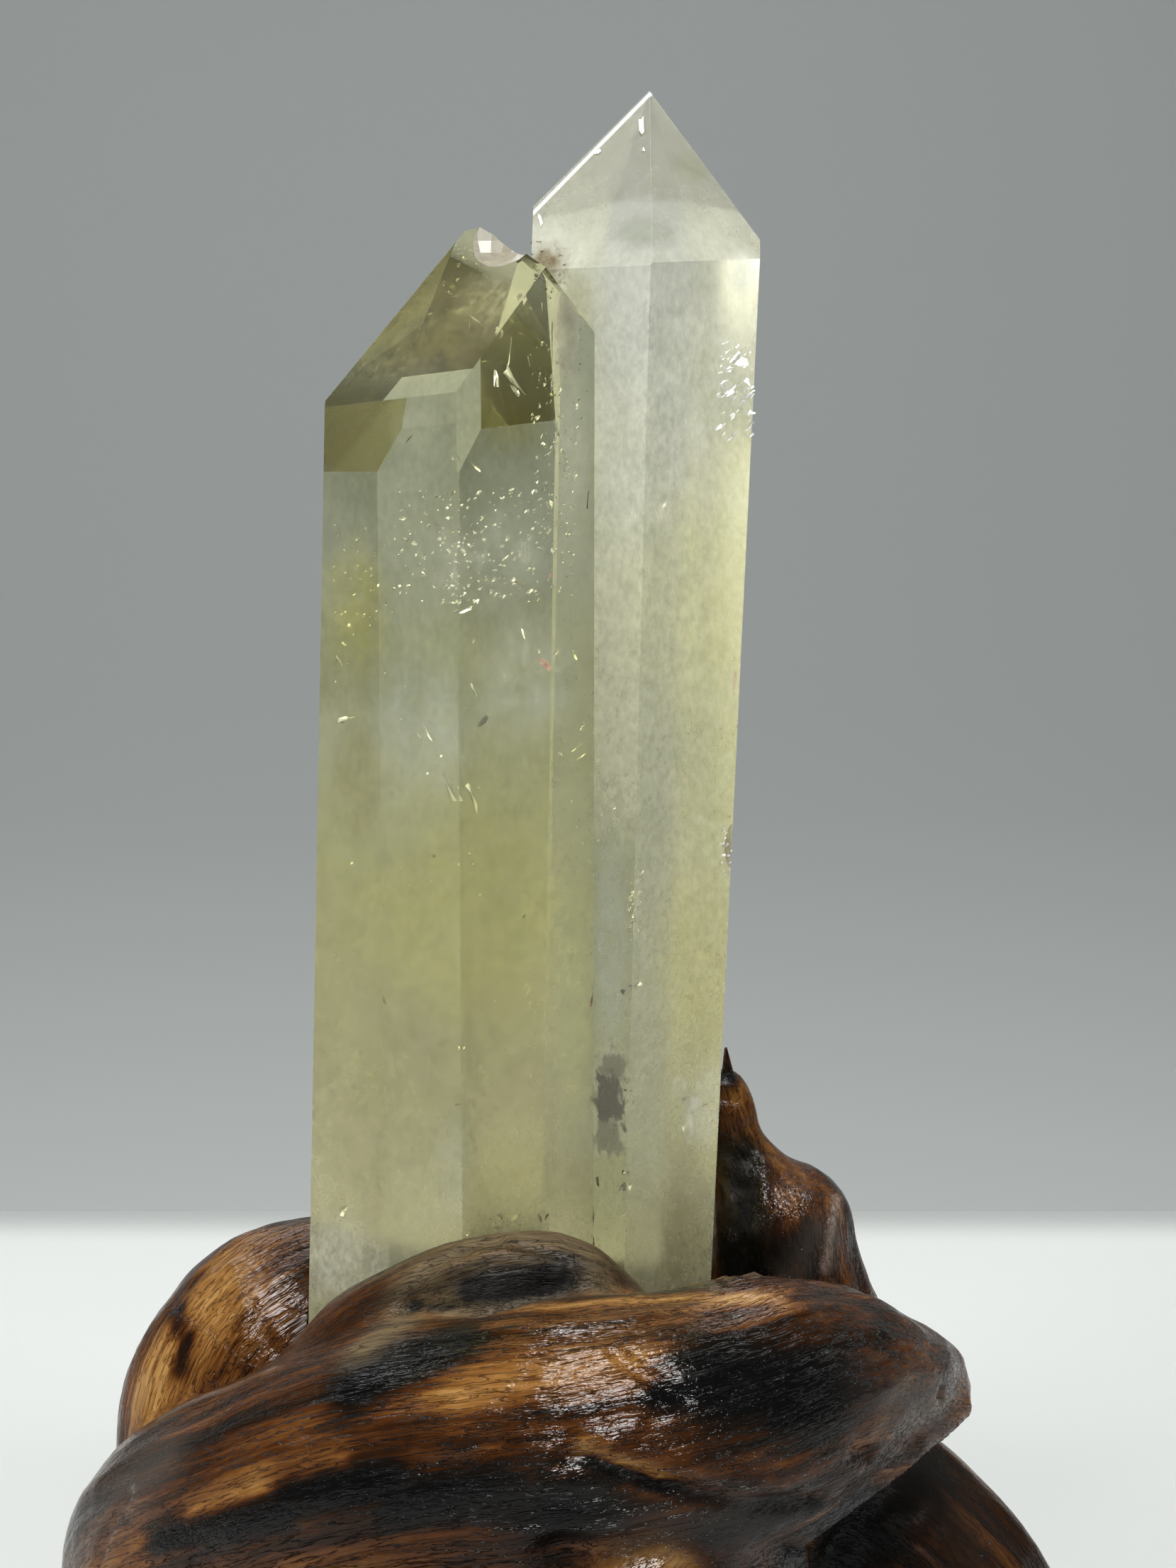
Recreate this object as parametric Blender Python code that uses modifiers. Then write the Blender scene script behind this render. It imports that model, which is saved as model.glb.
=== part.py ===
"""Citrine double point tower standing in a carved root wood stand.

The origin is on the flat underside of the stand, +Z is up and the front faces -Y.
The stone is cut the way a lapidary cuts it, one flat facet after another. The stand
is drawn as round roots of changing thickness that are fused into one lump of wood,
hollowed for the stone and parted at the main forks.
"""

import bmesh
import bpy
import math
from mathutils import Matrix, Vector

MM = 0.001
GAP = 0.3 * MM

# Stone: heights, then the corners of each six-sided column at two heights, in mm.
STONE_FOOT = 24.0
STONE_LOW = 40.0
STONE_HIGH = 150.0
STONE_BLANK_TOP = 205.0
LEFT_COLUMN_LOW = [(-35.1, -3.0), (-15.1, -14.0), (9.0, -1.6), (4.0, 6.1), (-21.2, 17.8), (-35.1, 10.2)]
LEFT_COLUMN_HIGH = [(-31.1, -3.4), (-14.2, -14.0), (7.0, 0.0), (4.0, 6.1), (-21.2, 17.8), (-31.1, 12.4)]
RIGHT_COLUMN_LOW = [(4.3, -8.0), (15.4, -1.0), (15.4, 14.0), (3.5, 21.5), (-10.0, 13.5), (-10.0, 0.2)]
RIGHT_COLUMN_HIGH = [(6.4, -8.0), (19.6, -0.6), (19.6, 14.6), (6.2, 22.5), (-7.2, 14.0), (-7.2, -0.2)]

# Terminations: a point on each facet and the way it faces.
LEFT_SHOULDER = (-31.0, -3.4, 152.8)
LEFT_CREST = (-13.3, 3.2, 174.1)
LEFT_BACK_LOW = (-21.2, 17.8, 144.1)
LEFT_BACK_HIGH = (-21.2, 17.8, 149.0)
RIGHT_APEX = (7.4, 8.0, 189.6)
LEFT_TIP_FACETS = [
    (LEFT_SHOULDER, (-0.443, -0.689, 0.574)),
    (LEFT_SHOULDER, (-0.775, 0.0, 0.632)),
    (LEFT_CREST, (0.73, 0.21, 0.64)),
    (LEFT_BACK_LOW, (-0.418, 0.770, 0.482)),
    (LEFT_BACK_HIGH, (0.343, 0.834, 0.432)),
]
# Azimuth of each facet of the taller point, and its slope, in degrees.
RIGHT_TIP_FACETS = [(240, 56.5), (300, 56.5), (0, 53.9), (60, 55.0), (120, 55.0), (180, 44.6)]

# Chips: centre, radius and stretch of the rounded scoop that each one left.
CREST_CHIP = ((-11.5, -4.6, 175.0), 6.9, (1.0, 1.0, 1.0))
EDGE_CHIP = ((18.2, -2.0, 98.7), 2.6, (0.6, 1.0, 1.5))

# Roots: stations of x, y, z and radius along each one, in mm.
ROOTS = {
    "heart_left": [(-36, 2, 8, 18), (-20, 4, 12, 23), (-2, 5, 13, 25), (16, 7, 12, 22), (28, 9, 8, 16)],
    "front_band": [
        (-51, -8, 2, 15), (-48, -14, 13.5, 16), (-36, -23, 23, 16.5), (-20, -31, 32, 17), (-2, -34, 35.5, 17),
        (13, -31, 37.2, 15.8), (25, -23, 38, 13.6), (35.5, -15, 36, 9.2), (42, -9, 33.2, 5.4),
    ],
    "front_skirt": [(-44, -22, 4, 14), (-28, -33, 10, 15), (-10, -38, 14, 14), (6, -36, 14, 11.5)],
    "front_toe": [
        (18, -28, 18, 8), (10, -42, 23, 8), (5, -48, 23.5, 7.5), (1.5, -50, 13, 8), (0, -49, 4, 10), (-1, -47, -2, 12),
    ],
    "inner_lip": [
        (-41, -12, 28, 5), (-33, -18.5, 36.5, 5.6), (-26, -21, 44.2, 6), (-17, -22, 48.8, 6.2),
        (-8, -22, 51, 6.3), (-1, -21, 49.5, 6), (3.5, -20, 45.3, 5),
    ],
    "left_root": [
        (-12, 25, 25, 13), (-27, 18.5, 29, 15.5), (-39.5, 10, 29, 16.6), (-44.5, 6, 23.5, 16.2),
        (-45.5, 2, 12, 16), (-44.5, 0, 0, 17),
    ],
    "right_prong": [(30, 15, 2, 13), (29.5, 14, 22, 12.5), (26.9, 13, 36, 10.8), (26.2, 13, 44.5, 9.5)],
    "prong_knob": [(24, 13.5, 47, 7.4), (21.6, 14.6, 55, 4.8), (20.2, 15, 60, 4.1), (19.2, 15, 63.6, 3.4)],
    "prong_spike": [(18.6, 15, 62, 3.0), (17.6, 15, 66, 1.9), (17.2, 15, 69, 1.2)],
    "right_foot": [(22, 6, 19, 13), (35, 5, 13.5, 10.8), (44, 3, 8, 9.6), (50.5, 1, 1.5, 9.4), (52, 0, -2, 9.8)],
    "back_root": [(-26, 24, 22, 13), (-8, 28, 25, 12), (10, 26, 27, 11), (24, 19, 30, 10)],
    "back_foot": [(2, 22, 24, 13), (-3, 31, 12, 12), (-6, 33, 4, 13.5), (-7, 33, -2, 15)],
    "back_right_foot": [(24, 16, 24, 12), (31, 23, 10, 10.5), (33, 26, -2, 12)],
}
# Hollows in the wood: centre, radius and stretch.
HOLLOWS = [
    ((-2.5, -53.0, 31.5), 4.6, (1.2, 1.0, 0.75)),
    ((22.0, -1.0, 42.5), 6.6, (0.75, 1.0, 1.3)),
]
STAND_VOXEL = 2.2
STAND_SMOOTHING = 5
STAND_KEEP = 0.34
ROOT_STEP = 3.0
CUT_REACH = 90.0

# Forks: the block of space that each branch takes from the fused wood, low and high corners.
FORKS = {
    "root_stand_left_root": ((-CUT_REACH, -3.5, -CUT_REACH), (-25.0, CUT_REACH, CUT_REACH)),
    "root_stand_right_prong": ((12.0, 0.5, 31.0), (CUT_REACH, CUT_REACH, CUT_REACH)),
    "root_stand_right_foot": ((36.0, -CUT_REACH, -CUT_REACH), (CUT_REACH, CUT_REACH, 25.5)),
}


def clear_scene():
    for obj in list(bpy.data.objects):
        bpy.data.objects.remove(obj, do_unlink=True)


def new_collection(name):
    collection = bpy.data.collections.new(name)
    bpy.context.scene.collection.children.link(collection)
    return collection


def new_material(name, colour, roughness, transmission=0.0, ior=1.45):
    material = bpy.data.materials.new(name)
    material.use_nodes = True
    shader = material.node_tree.nodes["Principled BSDF"]
    shader.inputs["Base Color"].default_value = (*colour, 1.0)
    shader.inputs["Roughness"].default_value = roughness
    shader.inputs["Metallic"].default_value = 0.0
    shader.inputs["Transmission Weight"].default_value = transmission
    shader.inputs["IOR"].default_value = ior
    return material


def add_object(name, bm, collection):
    mesh = bpy.data.meshes.new(name)
    bm.to_mesh(mesh)
    bm.free()
    obj = bpy.data.objects.new(name, mesh)
    collection.objects.link(obj)
    return obj


def applied(obj):
    """Replaces an object's mesh with what its modifiers make of it."""
    bpy.context.view_layer.update()
    graph = bpy.context.evaluated_depsgraph_get()
    mesh = bpy.data.meshes.new_from_object(obj.evaluated_get(graph))
    obj.modifiers.clear()
    obj.data = mesh
    return obj


def add_boolean(obj, cutter, operation):
    modifier = obj.modifiers.new(cutter.name, "BOOLEAN")
    modifier.operation = operation
    modifier.object = cutter
    modifier.solver = "EXACT"


def as_cutter(obj):
    obj.hide_render = True
    obj.display_type = "WIRE"
    return obj


def cut_facet(bm, point, facing):
    """Grinds away all that lies beyond a plane and closes the flat it leaves."""
    geometry = bm.verts[:] + bm.edges[:] + bm.faces[:]
    cut = bmesh.ops.bisect_plane(
        bm, geom=geometry, dist=1e-7, plane_co=Vector(point), plane_no=Vector(facing), clear_outer=True
    )
    edges = [part for part in cut["geom_cut"] if isinstance(part, bmesh.types.BMEdge)]
    if edges:
        bmesh.ops.contextual_create(bm, geom=edges)


def column_planes(low, high):
    """The plane of each side of a column, from its corners at the two heights."""
    planes = []
    for index, here in enumerate(low):
        after = (index + 1) % len(low)
        start = Vector((*here, STONE_LOW))
        along = Vector((*low[after], STONE_LOW)) - start
        middle_low = start + along / 2
        middle_high = Vector((*high[index], STONE_HIGH)).lerp(Vector((*high[after], STONE_HIGH)), 0.5)
        planes.append((start, along.cross(middle_high - middle_low).normalized()))
    return planes


def blank():
    """A block of rough stone, larger than either column."""
    bm = bmesh.new()
    bmesh.ops.create_cube(bm, size=1.0)
    size = Vector((120.0, 120.0, STONE_BLANK_TOP - STONE_FOOT))
    centre = Vector((0.0, 0.0, (STONE_BLANK_TOP + STONE_FOOT) / 2))
    for vert in bm.verts:
        vert.co = vert.co * size + centre
    return bm


def point_of_stone(name, low, high, tip_planes, collection, grow=0.0):
    """One column of the stone with its point, each side moved out by grow."""
    bm = blank()
    for point, facing in column_planes(low, high) + tip_planes:
        facing = Vector(facing).normalized()
        cut_facet(bm, Vector(point) + facing * grow, facing)
    for vert in bm.verts:
        if grow and vert.co.z < STONE_FOOT + 1.0:
            vert.co.z -= grow
        vert.co *= MM
    bmesh.ops.recalc_face_normals(bm, faces=bm.faces[:])
    return add_object(name, bm, collection)


def tip_of_taller_point():
    planes = []
    for azimuth, slope in RIGHT_TIP_FACETS:
        turn = math.radians(azimuth)
        lean = math.radians(slope)
        facing = (math.cos(turn) * math.sin(lean), math.sin(turn) * math.sin(lean), math.cos(lean))
        planes.append((RIGHT_APEX, facing))
    return planes


def make_scoop(name, centre, radius, stretch, collection, facets=20):
    bm = bmesh.new()
    bmesh.ops.create_uvsphere(bm, u_segments=facets, v_segments=facets // 2, radius=radius)
    for vert in bm.verts:
        vert.co = Vector([c + s * v for c, s, v in zip(centre, stretch, vert.co)]) * MM
    return as_cutter(add_object(name, bm, collection))


def make_stone(name, collection, helpers, grow=0.0):
    """Both points joined in one solid. With grow it is the shape that hollows the socket."""
    stone = point_of_stone(name, LEFT_COLUMN_LOW, LEFT_COLUMN_HIGH, LEFT_TIP_FACETS, collection, grow)
    taller = point_of_stone(
        name + "_taller_point", RIGHT_COLUMN_LOW, RIGHT_COLUMN_HIGH, tip_of_taller_point(), helpers, grow
    )
    add_boolean(stone, as_cutter(taller), "UNION")
    return applied(stone)


def chip_stone(stone, helpers):
    add_boolean(stone, make_scoop("crest_chip", *CREST_CHIP, helpers), "DIFFERENCE")
    add_boolean(stone, make_scoop("edge_chip", *EDGE_CHIP, helpers, facets=12), "DIFFERENCE")


def smooth_stations(stations):
    """Points of a smooth curve through a root's stations, each with its radius."""
    path = []
    knots = [Vector(s) for s in stations]
    for index in range(len(knots) - 1):
        before = knots[max(index - 1, 0)]
        start, end = knots[index], knots[index + 1]
        after = knots[min(index + 2, len(knots) - 1)]
        steps = max(2, round((end - start).length / ROOT_STEP))
        for step in range(steps):
            t = step / steps
            bend = (
                (end - before) * t
                + (2 * before - 5 * start + 4 * end - after) * t ** 2
                + (3 * start - before - 3 * end + after) * t ** 3
            )
            path.append(start + bend / 2)
    path.append(knots[-1])
    return path


def make_root(name, stations, collection):
    """A round root: a curve whose thickness follows its stations, with a ball at each end."""
    path = smooth_stations([Vector(s) for s in stations])
    curve = bpy.data.curves.new(name, "CURVE")
    curve.dimensions = "3D"
    curve.bevel_depth = 1.0 * MM
    curve.bevel_resolution = 4
    curve.use_fill_caps = True
    spline = curve.splines.new("POLY")
    spline.points.add(len(path) - 1)
    for point, place in zip(spline.points, path):
        point.co = (*(place.xyz * MM), 1.0)
        point.radius = place.w
    guide = bpy.data.objects.new(name + "_guide", curve)
    collection.objects.link(guide)
    bpy.context.view_layer.update()
    graph = bpy.context.evaluated_depsgraph_get()
    mesh = bpy.data.meshes.new_from_object(guide.evaluated_get(graph))
    bm = bmesh.new()
    bm.from_mesh(mesh)
    bmesh.ops.remove_doubles(bm, verts=bm.verts[:], dist=0.00001)
    for place in (path[0], path[-1]):
        centre = Matrix.Translation(place.xyz * MM)
        bmesh.ops.create_uvsphere(bm, u_segments=18, v_segments=10, radius=place.w * MM, matrix=centre)
    bpy.data.objects.remove(guide, do_unlink=True)
    bpy.data.meshes.remove(mesh)
    return bm


def make_wood(collection, helpers):
    """All roots fused into one lump, smoothed, thinned and sawn flat underneath."""
    lump = bmesh.new()
    for name, stations in ROOTS.items():
        root = make_root(name, stations, collection)
        mesh = bpy.data.meshes.new(name)
        root.to_mesh(mesh)
        root.free()
        lump.from_mesh(mesh)
        bpy.data.meshes.remove(mesh)
    wood = add_object("fused_wood", lump, collection)
    remesh = wood.modifiers.new("fuse", "REMESH")
    remesh.mode = "VOXEL"
    remesh.voxel_size = STAND_VOXEL * MM
    smooth = wood.modifiers.new("smooth", "SMOOTH")
    smooth.iterations = STAND_SMOOTHING
    thin = wood.modifiers.new("thin", "DECIMATE")
    thin.ratio = STAND_KEEP
    applied(wood)
    bm = bmesh.new()
    bm.from_mesh(wood.data)
    cut_facet(bm, (0.0, 0.0, 0.0), (0.0, 0.0, -1.0))
    bmesh.ops.triangulate(bm, faces=bm.faces[:])
    bm.to_mesh(wood.data)
    bm.free()
    for index, (centre, radius, stretch) in enumerate(HOLLOWS):
        add_boolean(wood, make_scoop(f"hollow_{index + 1}", centre, radius, stretch, helpers, 16), "DIFFERENCE")
    return as_cutter(applied(wood))


def make_block(name, low, high, helpers, grow=0.0):
    bm = bmesh.new()
    bmesh.ops.create_cube(bm, size=1.0)
    low = Vector(low) - Vector((grow, grow, grow)) / MM
    high = Vector(high) + Vector((grow, grow, grow)) / MM
    for vert in bm.verts:
        vert.co = Vector([lo if v < 0 else hi for lo, hi, v in zip(low, high, vert.co)]) * MM
    return as_cutter(add_object(name, bm, helpers))


def copy_of(name, source, collection):
    obj = bpy.data.objects.new(name, source.data.copy())
    collection.objects.link(obj)
    return obj


def main():
    clear_scene()
    parts = new_collection("citrine_double_point_tower")
    helpers = new_collection("cutters")
    citrine = new_material("citrine", (0.80, 0.79, 0.47), 0.04, transmission=1.0, ior=1.544)
    root_wood = new_material("lacquered_root_wood", (0.20, 0.075, 0.025), 0.22)

    stone = make_stone("citrine_twin_crystal", parts, helpers)
    chip_stone(stone, helpers)
    stone.data.materials.append(citrine)

    socket = as_cutter(make_stone("socket", helpers, helpers, grow=GAP / MM))
    wood = make_wood(helpers, helpers)
    body = copy_of("root_stand_body", wood, parts)
    nodes = [body]
    for name, (low, high) in FORKS.items():
        branch = copy_of(name, wood, parts)
        add_boolean(branch, make_block(name + "_space", low, high, helpers), "INTERSECT")
        add_boolean(body, make_block(name + "_gap", low, high, helpers, grow=GAP), "DIFFERENCE")
        nodes.append(branch)
    for node in nodes:
        add_boolean(node, socket, "DIFFERENCE")
        applied(node)
        node.data.materials.clear()
        node.data.materials.append(root_wood)
        node.data.shade_smooth()
        node.data.set_sharp_from_angle(angle=math.radians(50))


main()
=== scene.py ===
# %% [markdown]
# # Citrine double point tower on a root stand
# One clear, pale yellow quartz with two grown-together points stands loose in a lacquered tree root.
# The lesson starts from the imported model, which fixes every size. What is added keeps to it within a
# millimetre.
# The root comes first, because it is a soft form that is grown and carved, then the stone, which is ground.

import math

import bpy
import numpy as np
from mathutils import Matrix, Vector, noise
from mathutils.bvhtree import BVHTree


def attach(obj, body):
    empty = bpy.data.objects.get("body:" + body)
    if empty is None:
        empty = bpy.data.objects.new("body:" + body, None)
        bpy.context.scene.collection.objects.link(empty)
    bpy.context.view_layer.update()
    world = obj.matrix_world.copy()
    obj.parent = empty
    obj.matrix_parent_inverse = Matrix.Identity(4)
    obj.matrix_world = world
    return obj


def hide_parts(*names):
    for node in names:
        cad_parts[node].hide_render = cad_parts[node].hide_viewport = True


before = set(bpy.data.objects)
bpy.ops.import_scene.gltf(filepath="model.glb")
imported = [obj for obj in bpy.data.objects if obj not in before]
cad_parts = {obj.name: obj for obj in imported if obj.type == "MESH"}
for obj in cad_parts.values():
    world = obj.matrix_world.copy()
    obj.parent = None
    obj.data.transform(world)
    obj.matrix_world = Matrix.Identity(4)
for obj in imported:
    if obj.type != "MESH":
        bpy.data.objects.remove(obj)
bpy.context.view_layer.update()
MM = 0.001

# %% [markdown]
# ## Camera
# The stone was pictured from close by, a little above its middle, with a short telephone-camera lens.
# The lens length follows from how fast upright lines close in, and the tilt from where level lines meet.
# A ray through a point of the picture then says where a knot or a streak sits on the real surface.

# %% Camera
IMAGE_WIDTH, IMAGE_HEIGHT = 1659, 2212
FOCAL_PIXELS = 3322.0
SENSOR = 36.0
CAMERA_PLACE = Vector((0.0, -0.285, 0.152))
CAMERA_DIP = math.radians(9.08)

view = bpy.data.cameras.new("photo_view")
view.sensor_width = SENSOR
view.lens = FOCAL_PIXELS * SENSOR / max(IMAGE_WIDTH, IMAGE_HEIGHT)
view.clip_start = 0.01
camera = bpy.data.objects.new("photo_view", view)
camera.location = CAMERA_PLACE
camera.rotation_euler = (math.radians(90.0) - CAMERA_DIP, 0.0, 0.0)
bpy.context.scene.collection.objects.link(camera)
bpy.context.scene.camera = camera


def ray_through(px, py):
    """The direction from the camera through a point of the picture."""
    aim = Vector((px - IMAGE_WIDTH / 2, IMAGE_HEIGHT / 2 - py, -FOCAL_PIXELS))
    return (camera.rotation_euler.to_matrix() @ aim).normalized()


print("Lens, mm:", round(view.lens, 1))

# %% [markdown]
# ## Room
# A pale table, with painted shade along its back edge, ends a hand's width behind the stand, and a grey wall
# with a soft painted falloff of light stands behind it.
# Glass shows its surroundings, so the unseen sides matter too: bright panels at the sides and overhead,
# and a dim room behind the camera, give the facets their light and their dark olive parts. One more
# lamp shows in reflections alone, and gives the lacquer its broken glints.


# %% Node helpers
def feed(node, sockets):
    """Gives each named socket of a node a plain value, or links another node's output to it."""
    for name, value in sockets.items():
        if isinstance(value, bpy.types.NodeSocket):
            node.id_data.links.new(value, node.inputs[name])
        else:
            node.inputs[name].default_value = value


def put(tree, kind, sockets=None, **settings):
    """Adds a node with its settings and its sockets."""
    node = tree.nodes.new(kind)
    for name, value in settings.items():
        setattr(node, name, value)
    feed(node, sockets or {})
    return node


def follow(kind, sockets, **settings):
    """Adds a node in the tree that its first linked output is in."""
    linked = [value for value in sockets.values() if isinstance(value, bpy.types.NodeSocket)]
    return put(linked[0].id_data, kind, sockets, **settings).outputs


def combine(operation, first, second=0.0, third=0.0, clamp=False):
    """One step of arithmetic on values or outputs."""
    sockets = {0: first, 1: second, 2: third}
    return follow("ShaderNodeMath", sockets, operation=operation, use_clamp=clamp)[0]


def times(first, second, clamp=False):
    """Two values multiplied."""
    return combine("MULTIPLY", first, second, clamp=clamp)


def times_plus(first, second, third, clamp=False):
    """Two values multiplied, and a third one added."""
    return combine("MULTIPLY_ADD", first, second, third, clamp)


def minus(first, second):
    """One value less another."""
    return combine("SUBTRACT", first, second)


def spread(value, low, high, to_low=0.0, to_high=1.0, smooth=False):
    """Maps a value from one range to another, held at the ends."""
    sockets = {"Value": value, "From Min": low, "From Max": high, "To Min": to_low, "To Max": to_high}
    kind = "SMOOTHSTEP" if smooth else "LINEAR"
    return follow("ShaderNodeMapRange", sockets, interpolation_type=kind)["Result"]


def blend(amount, first, second):
    """A value between two others."""
    return follow("ShaderNodeMix", {"Factor": amount, 2: first, 3: second}, data_type="FLOAT")[0]


def kept_mark(tree, name, output="Fac"):
    """A mark or a place that is kept on the mesh."""
    return put(tree, "ShaderNodeAttribute", attribute_name=name).outputs[output]


def object_place(tree):
    """The place on the object itself, in metres."""
    return put(tree, "ShaderNodeTexCoord").outputs["Object"]


def axes_of(place):
    """The X, Y and Z of a place."""
    return follow("ShaderNodeSeparateXYZ", {0: place})


def stretched(place, scale, shift=(0.0, 0.0, 0.0)):
    """Coordinates scaled apart along each axis."""
    return follow("ShaderNodeMapping", {"Vector": place, "Scale": scale, "Location": shift})["Vector"]


def mottle(place, scale, detail=2.0, roughness=0.5, distortion=0.0):
    """Soft random cloud from 0 to 1."""
    sockets = {"Vector": place, "Scale": scale, "Detail": detail, "Roughness": roughness}
    return follow("ShaderNodeTexNoise", {**sockets, "Distortion": distortion})["Fac"]


def tint(amount, *colours, blend="MIX"):
    """Mixes two colours by an amount."""
    first, second = (each if isinstance(each, bpy.types.NodeSocket) else (*each, 1.0) for each in colours)
    sockets = {"Factor": amount, 6: first, 7: second}
    return follow("ShaderNodeMix", sockets, data_type="RGBA", blend_type=blend)[2]


def colour_scale(value, stops):
    """A ramp of colours, each at its place from 0 to 1."""
    output = follow("ShaderNodeValToRGB", {"Fac": value})["Color"]
    points = output.node.color_ramp.elements
    while len(points) < len(stops):
        points.new(0.5)
    for point, (place, colour) in zip(points, stops):
        point.position = place
        point.color = (*colour, 1.0)
    return output


def raised(height, distance):
    """The normal of a surface with a fine relief, whose full height is given in mm."""
    return follow("ShaderNodeBump", {"Height": height, "Distance": distance * MM})["Normal"]


def new_material(name, roughness=0.5):
    """A material with its node tree and its Principled shader."""
    material = bpy.data.materials.new(name)
    material.use_nodes = True
    shader = material.node_tree.nodes["Principled BSDF"]
    shader.inputs["Roughness"].default_value = roughness
    return material, material.node_tree, shader


def dress(piece, material):
    """Gives a piece this one material."""
    piece.data.materials.clear()
    piece.data.materials.append(material)


# %% Floor, backdrop and light
def only(piece):
    """Selects one object and nothing else."""
    bpy.ops.object.select_all(action="DESELECT")
    piece.select_set(True)
    bpy.context.view_layer.objects.active = piece
    return piece


def in_place(piece):
    """Puts an object's place, turn and scale into its mesh."""
    only(piece)
    bpy.ops.object.transform_apply(location=True, rotation=True, scale=True)
    return piece


def stage_plane(name, centre, size, turn, colour):
    """A flat matt sheet that isn't part of the object."""
    bpy.ops.object.select_all(action="DESELECT")
    bpy.ops.mesh.primitive_plane_add(size=1.0, location=centre, rotation=turn)
    sheet = bpy.context.object
    sheet.name = name
    sheet.scale = (*size, 1.0)
    material, tree, shader = new_material(name, SHEET_ROUGHNESS)
    shader.inputs["Base Color"].default_value = (*colour, 1.0)
    dress(sheet, material)
    return in_place(sheet)


def soft_panel(name, place, size, watts, aim, unseen):
    """A rectangular lamp that faces a point, and doesn't light some kinds of rays."""
    lamp = bpy.data.lights.new(name, "AREA")
    lamp.shape = "RECTANGLE"
    lamp.size, lamp.size_y = size
    lamp.energy = watts
    holder = bpy.data.objects.new(name, lamp)
    holder.location = place
    holder.rotation_euler = (Vector(aim) - Vector(place)).to_track_quat("-Z", "Y").to_euler()
    for kind in unseen:
        setattr(holder, "visible_" + kind, False)
    bpy.context.scene.collection.objects.link(holder)


SHEET_ROUGHNESS = 0.9
TABLE_BACK, TABLE_DEPTH, TABLE_WIDTH, TABLE_DROP = 0.148, 1.2, 2.4, 0.0002
TABLE_COLOUR = (0.745, 0.77, 0.75)
# The wall is painted lighter at its foot and darker higher up: a painted falloff of light.
WALL_COLOURS = [(0.0, (0.62, 0.65, 0.64)), (0.35, (0.45, 0.48, 0.47)), (1.0, (0.42, 0.45, 0.44))]
WALL_FOOT, WALL_TOP = -0.27, 0.35
# Painted shade: the table darkens to this grey along its back edge, over EDGE_BLUR.
TABLE_EDGE_SHADE, EDGE_BLUR = (0.42, 0.44, 0.43), 0.018
WALL_CENTRE, WALL_SIZE = (0.0, 0.9, 0.2), (4.0, 2.4)
ROOM_COLOUR, ROOM_STRENGTH = (0.50, 0.53, 0.54, 1.0), 0.15
# Each lamp: name, place, width and height, watts, the point it faces, and the kinds of rays it leaves dark.
LAMPS = [
    ("ceiling_lamp", (0.02, -0.10, 0.85), (0.18, 0.13), 5.0, (0.0, 0.0, 0.1), ()),
    ("left_fill", (-0.9, -0.35, 0.45), (0.7, 0.7), 7.0, (0.0, 0.0, 0.1), ("glossy",)),
    ("right_fill", (0.8, -0.25, 0.5), (0.4, 0.5), 3.0, (0.0, 0.0, 0.08), ("glossy",)),
    ("back_lamp", (-0.15, 0.70, 0.62), (0.7, 0.35), 3.5, (0.0, 0.0, 0.12), ("diffuse",)),
    ("gloss_lamp", (0.06, -0.32, 0.80), (0.30, 0.30), 9.5, (0.0, 0.0, 0.08), ("diffuse", "transmission")),
    ("wall_wash", (0.0, 0.55, -0.45), (1.6, 0.2), 1.5, (0.0, 0.9, -0.25), ()),
]

# %% Table, wall and lamps
table_centre = (0.0, TABLE_BACK - TABLE_DEPTH / 2, -TABLE_DROP)
table = stage_plane("table", table_centre, (TABLE_WIDTH, TABLE_DEPTH), (0.0, 0.0, 0.0), TABLE_COLOUR)
wall = stage_plane("wall", WALL_CENTRE, WALL_SIZE, (math.radians(90.0), 0.0, 0.0), WALL_COLOURS[1][1])
for sheet in (table, wall):
    tree = sheet.active_material.node_tree
    axes = axes_of(object_place(tree))
    if sheet is wall:
        # Painted falloff of light up the wall.
        colour = colour_scale(spread(axes["Z"], WALL_FOOT, WALL_TOP), WALL_COLOURS)
    else:
        # Painted shade along the table's back edge.
        edge = spread(axes["Y"], TABLE_BACK - EDGE_BLUR, TABLE_BACK, smooth=True)
        colour = tint(edge, TABLE_COLOUR, TABLE_EDGE_SHADE)
    feed(tree.nodes["Principled BSDF"], {"Base Color": colour})
world = bpy.data.worlds.new("room")
world.use_nodes = True
feed(world.node_tree.nodes["Background"], {"Color": ROOM_COLOUR, "Strength": ROOM_STRENGTH})
bpy.context.scene.world = world
bpy.context.scene.view_settings.view_transform = "Standard"
for lamp in LAMPS:
    soft_panel(*lamp)
print("Room:", len(LAMPS), "lamps")

# %% [markdown]
# ## The root as a lump of wood
# The stand is a gnarled root: thick arms that run into each other, round a hollow that holds the stone.
# It could be sculpted by hand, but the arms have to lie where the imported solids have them.
# So each arm is a curve that is as thick as the wood is there, and a voxel remesh fuses all the arms.


# %% Mesh helpers
def apply_modifier(piece, kind, **settings):
    """Adds a modifier with its settings and applies it."""
    only(piece)
    modifier = piece.modifiers.new(kind.lower(), kind)
    for name, value in settings.items():
        setattr(modifier, name, value)
    bpy.ops.object.modifier_apply(modifier=modifier.name)


def carve(piece, tool, operation="DIFFERENCE", solver="MANIFOLD"):
    """Cuts a piece with a tool, or joins the tool on, and takes the tool away."""
    apply_modifier(piece, "BOOLEAN", operation=operation, object=tool, solver=solver)
    bpy.data.objects.remove(tool)


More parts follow.
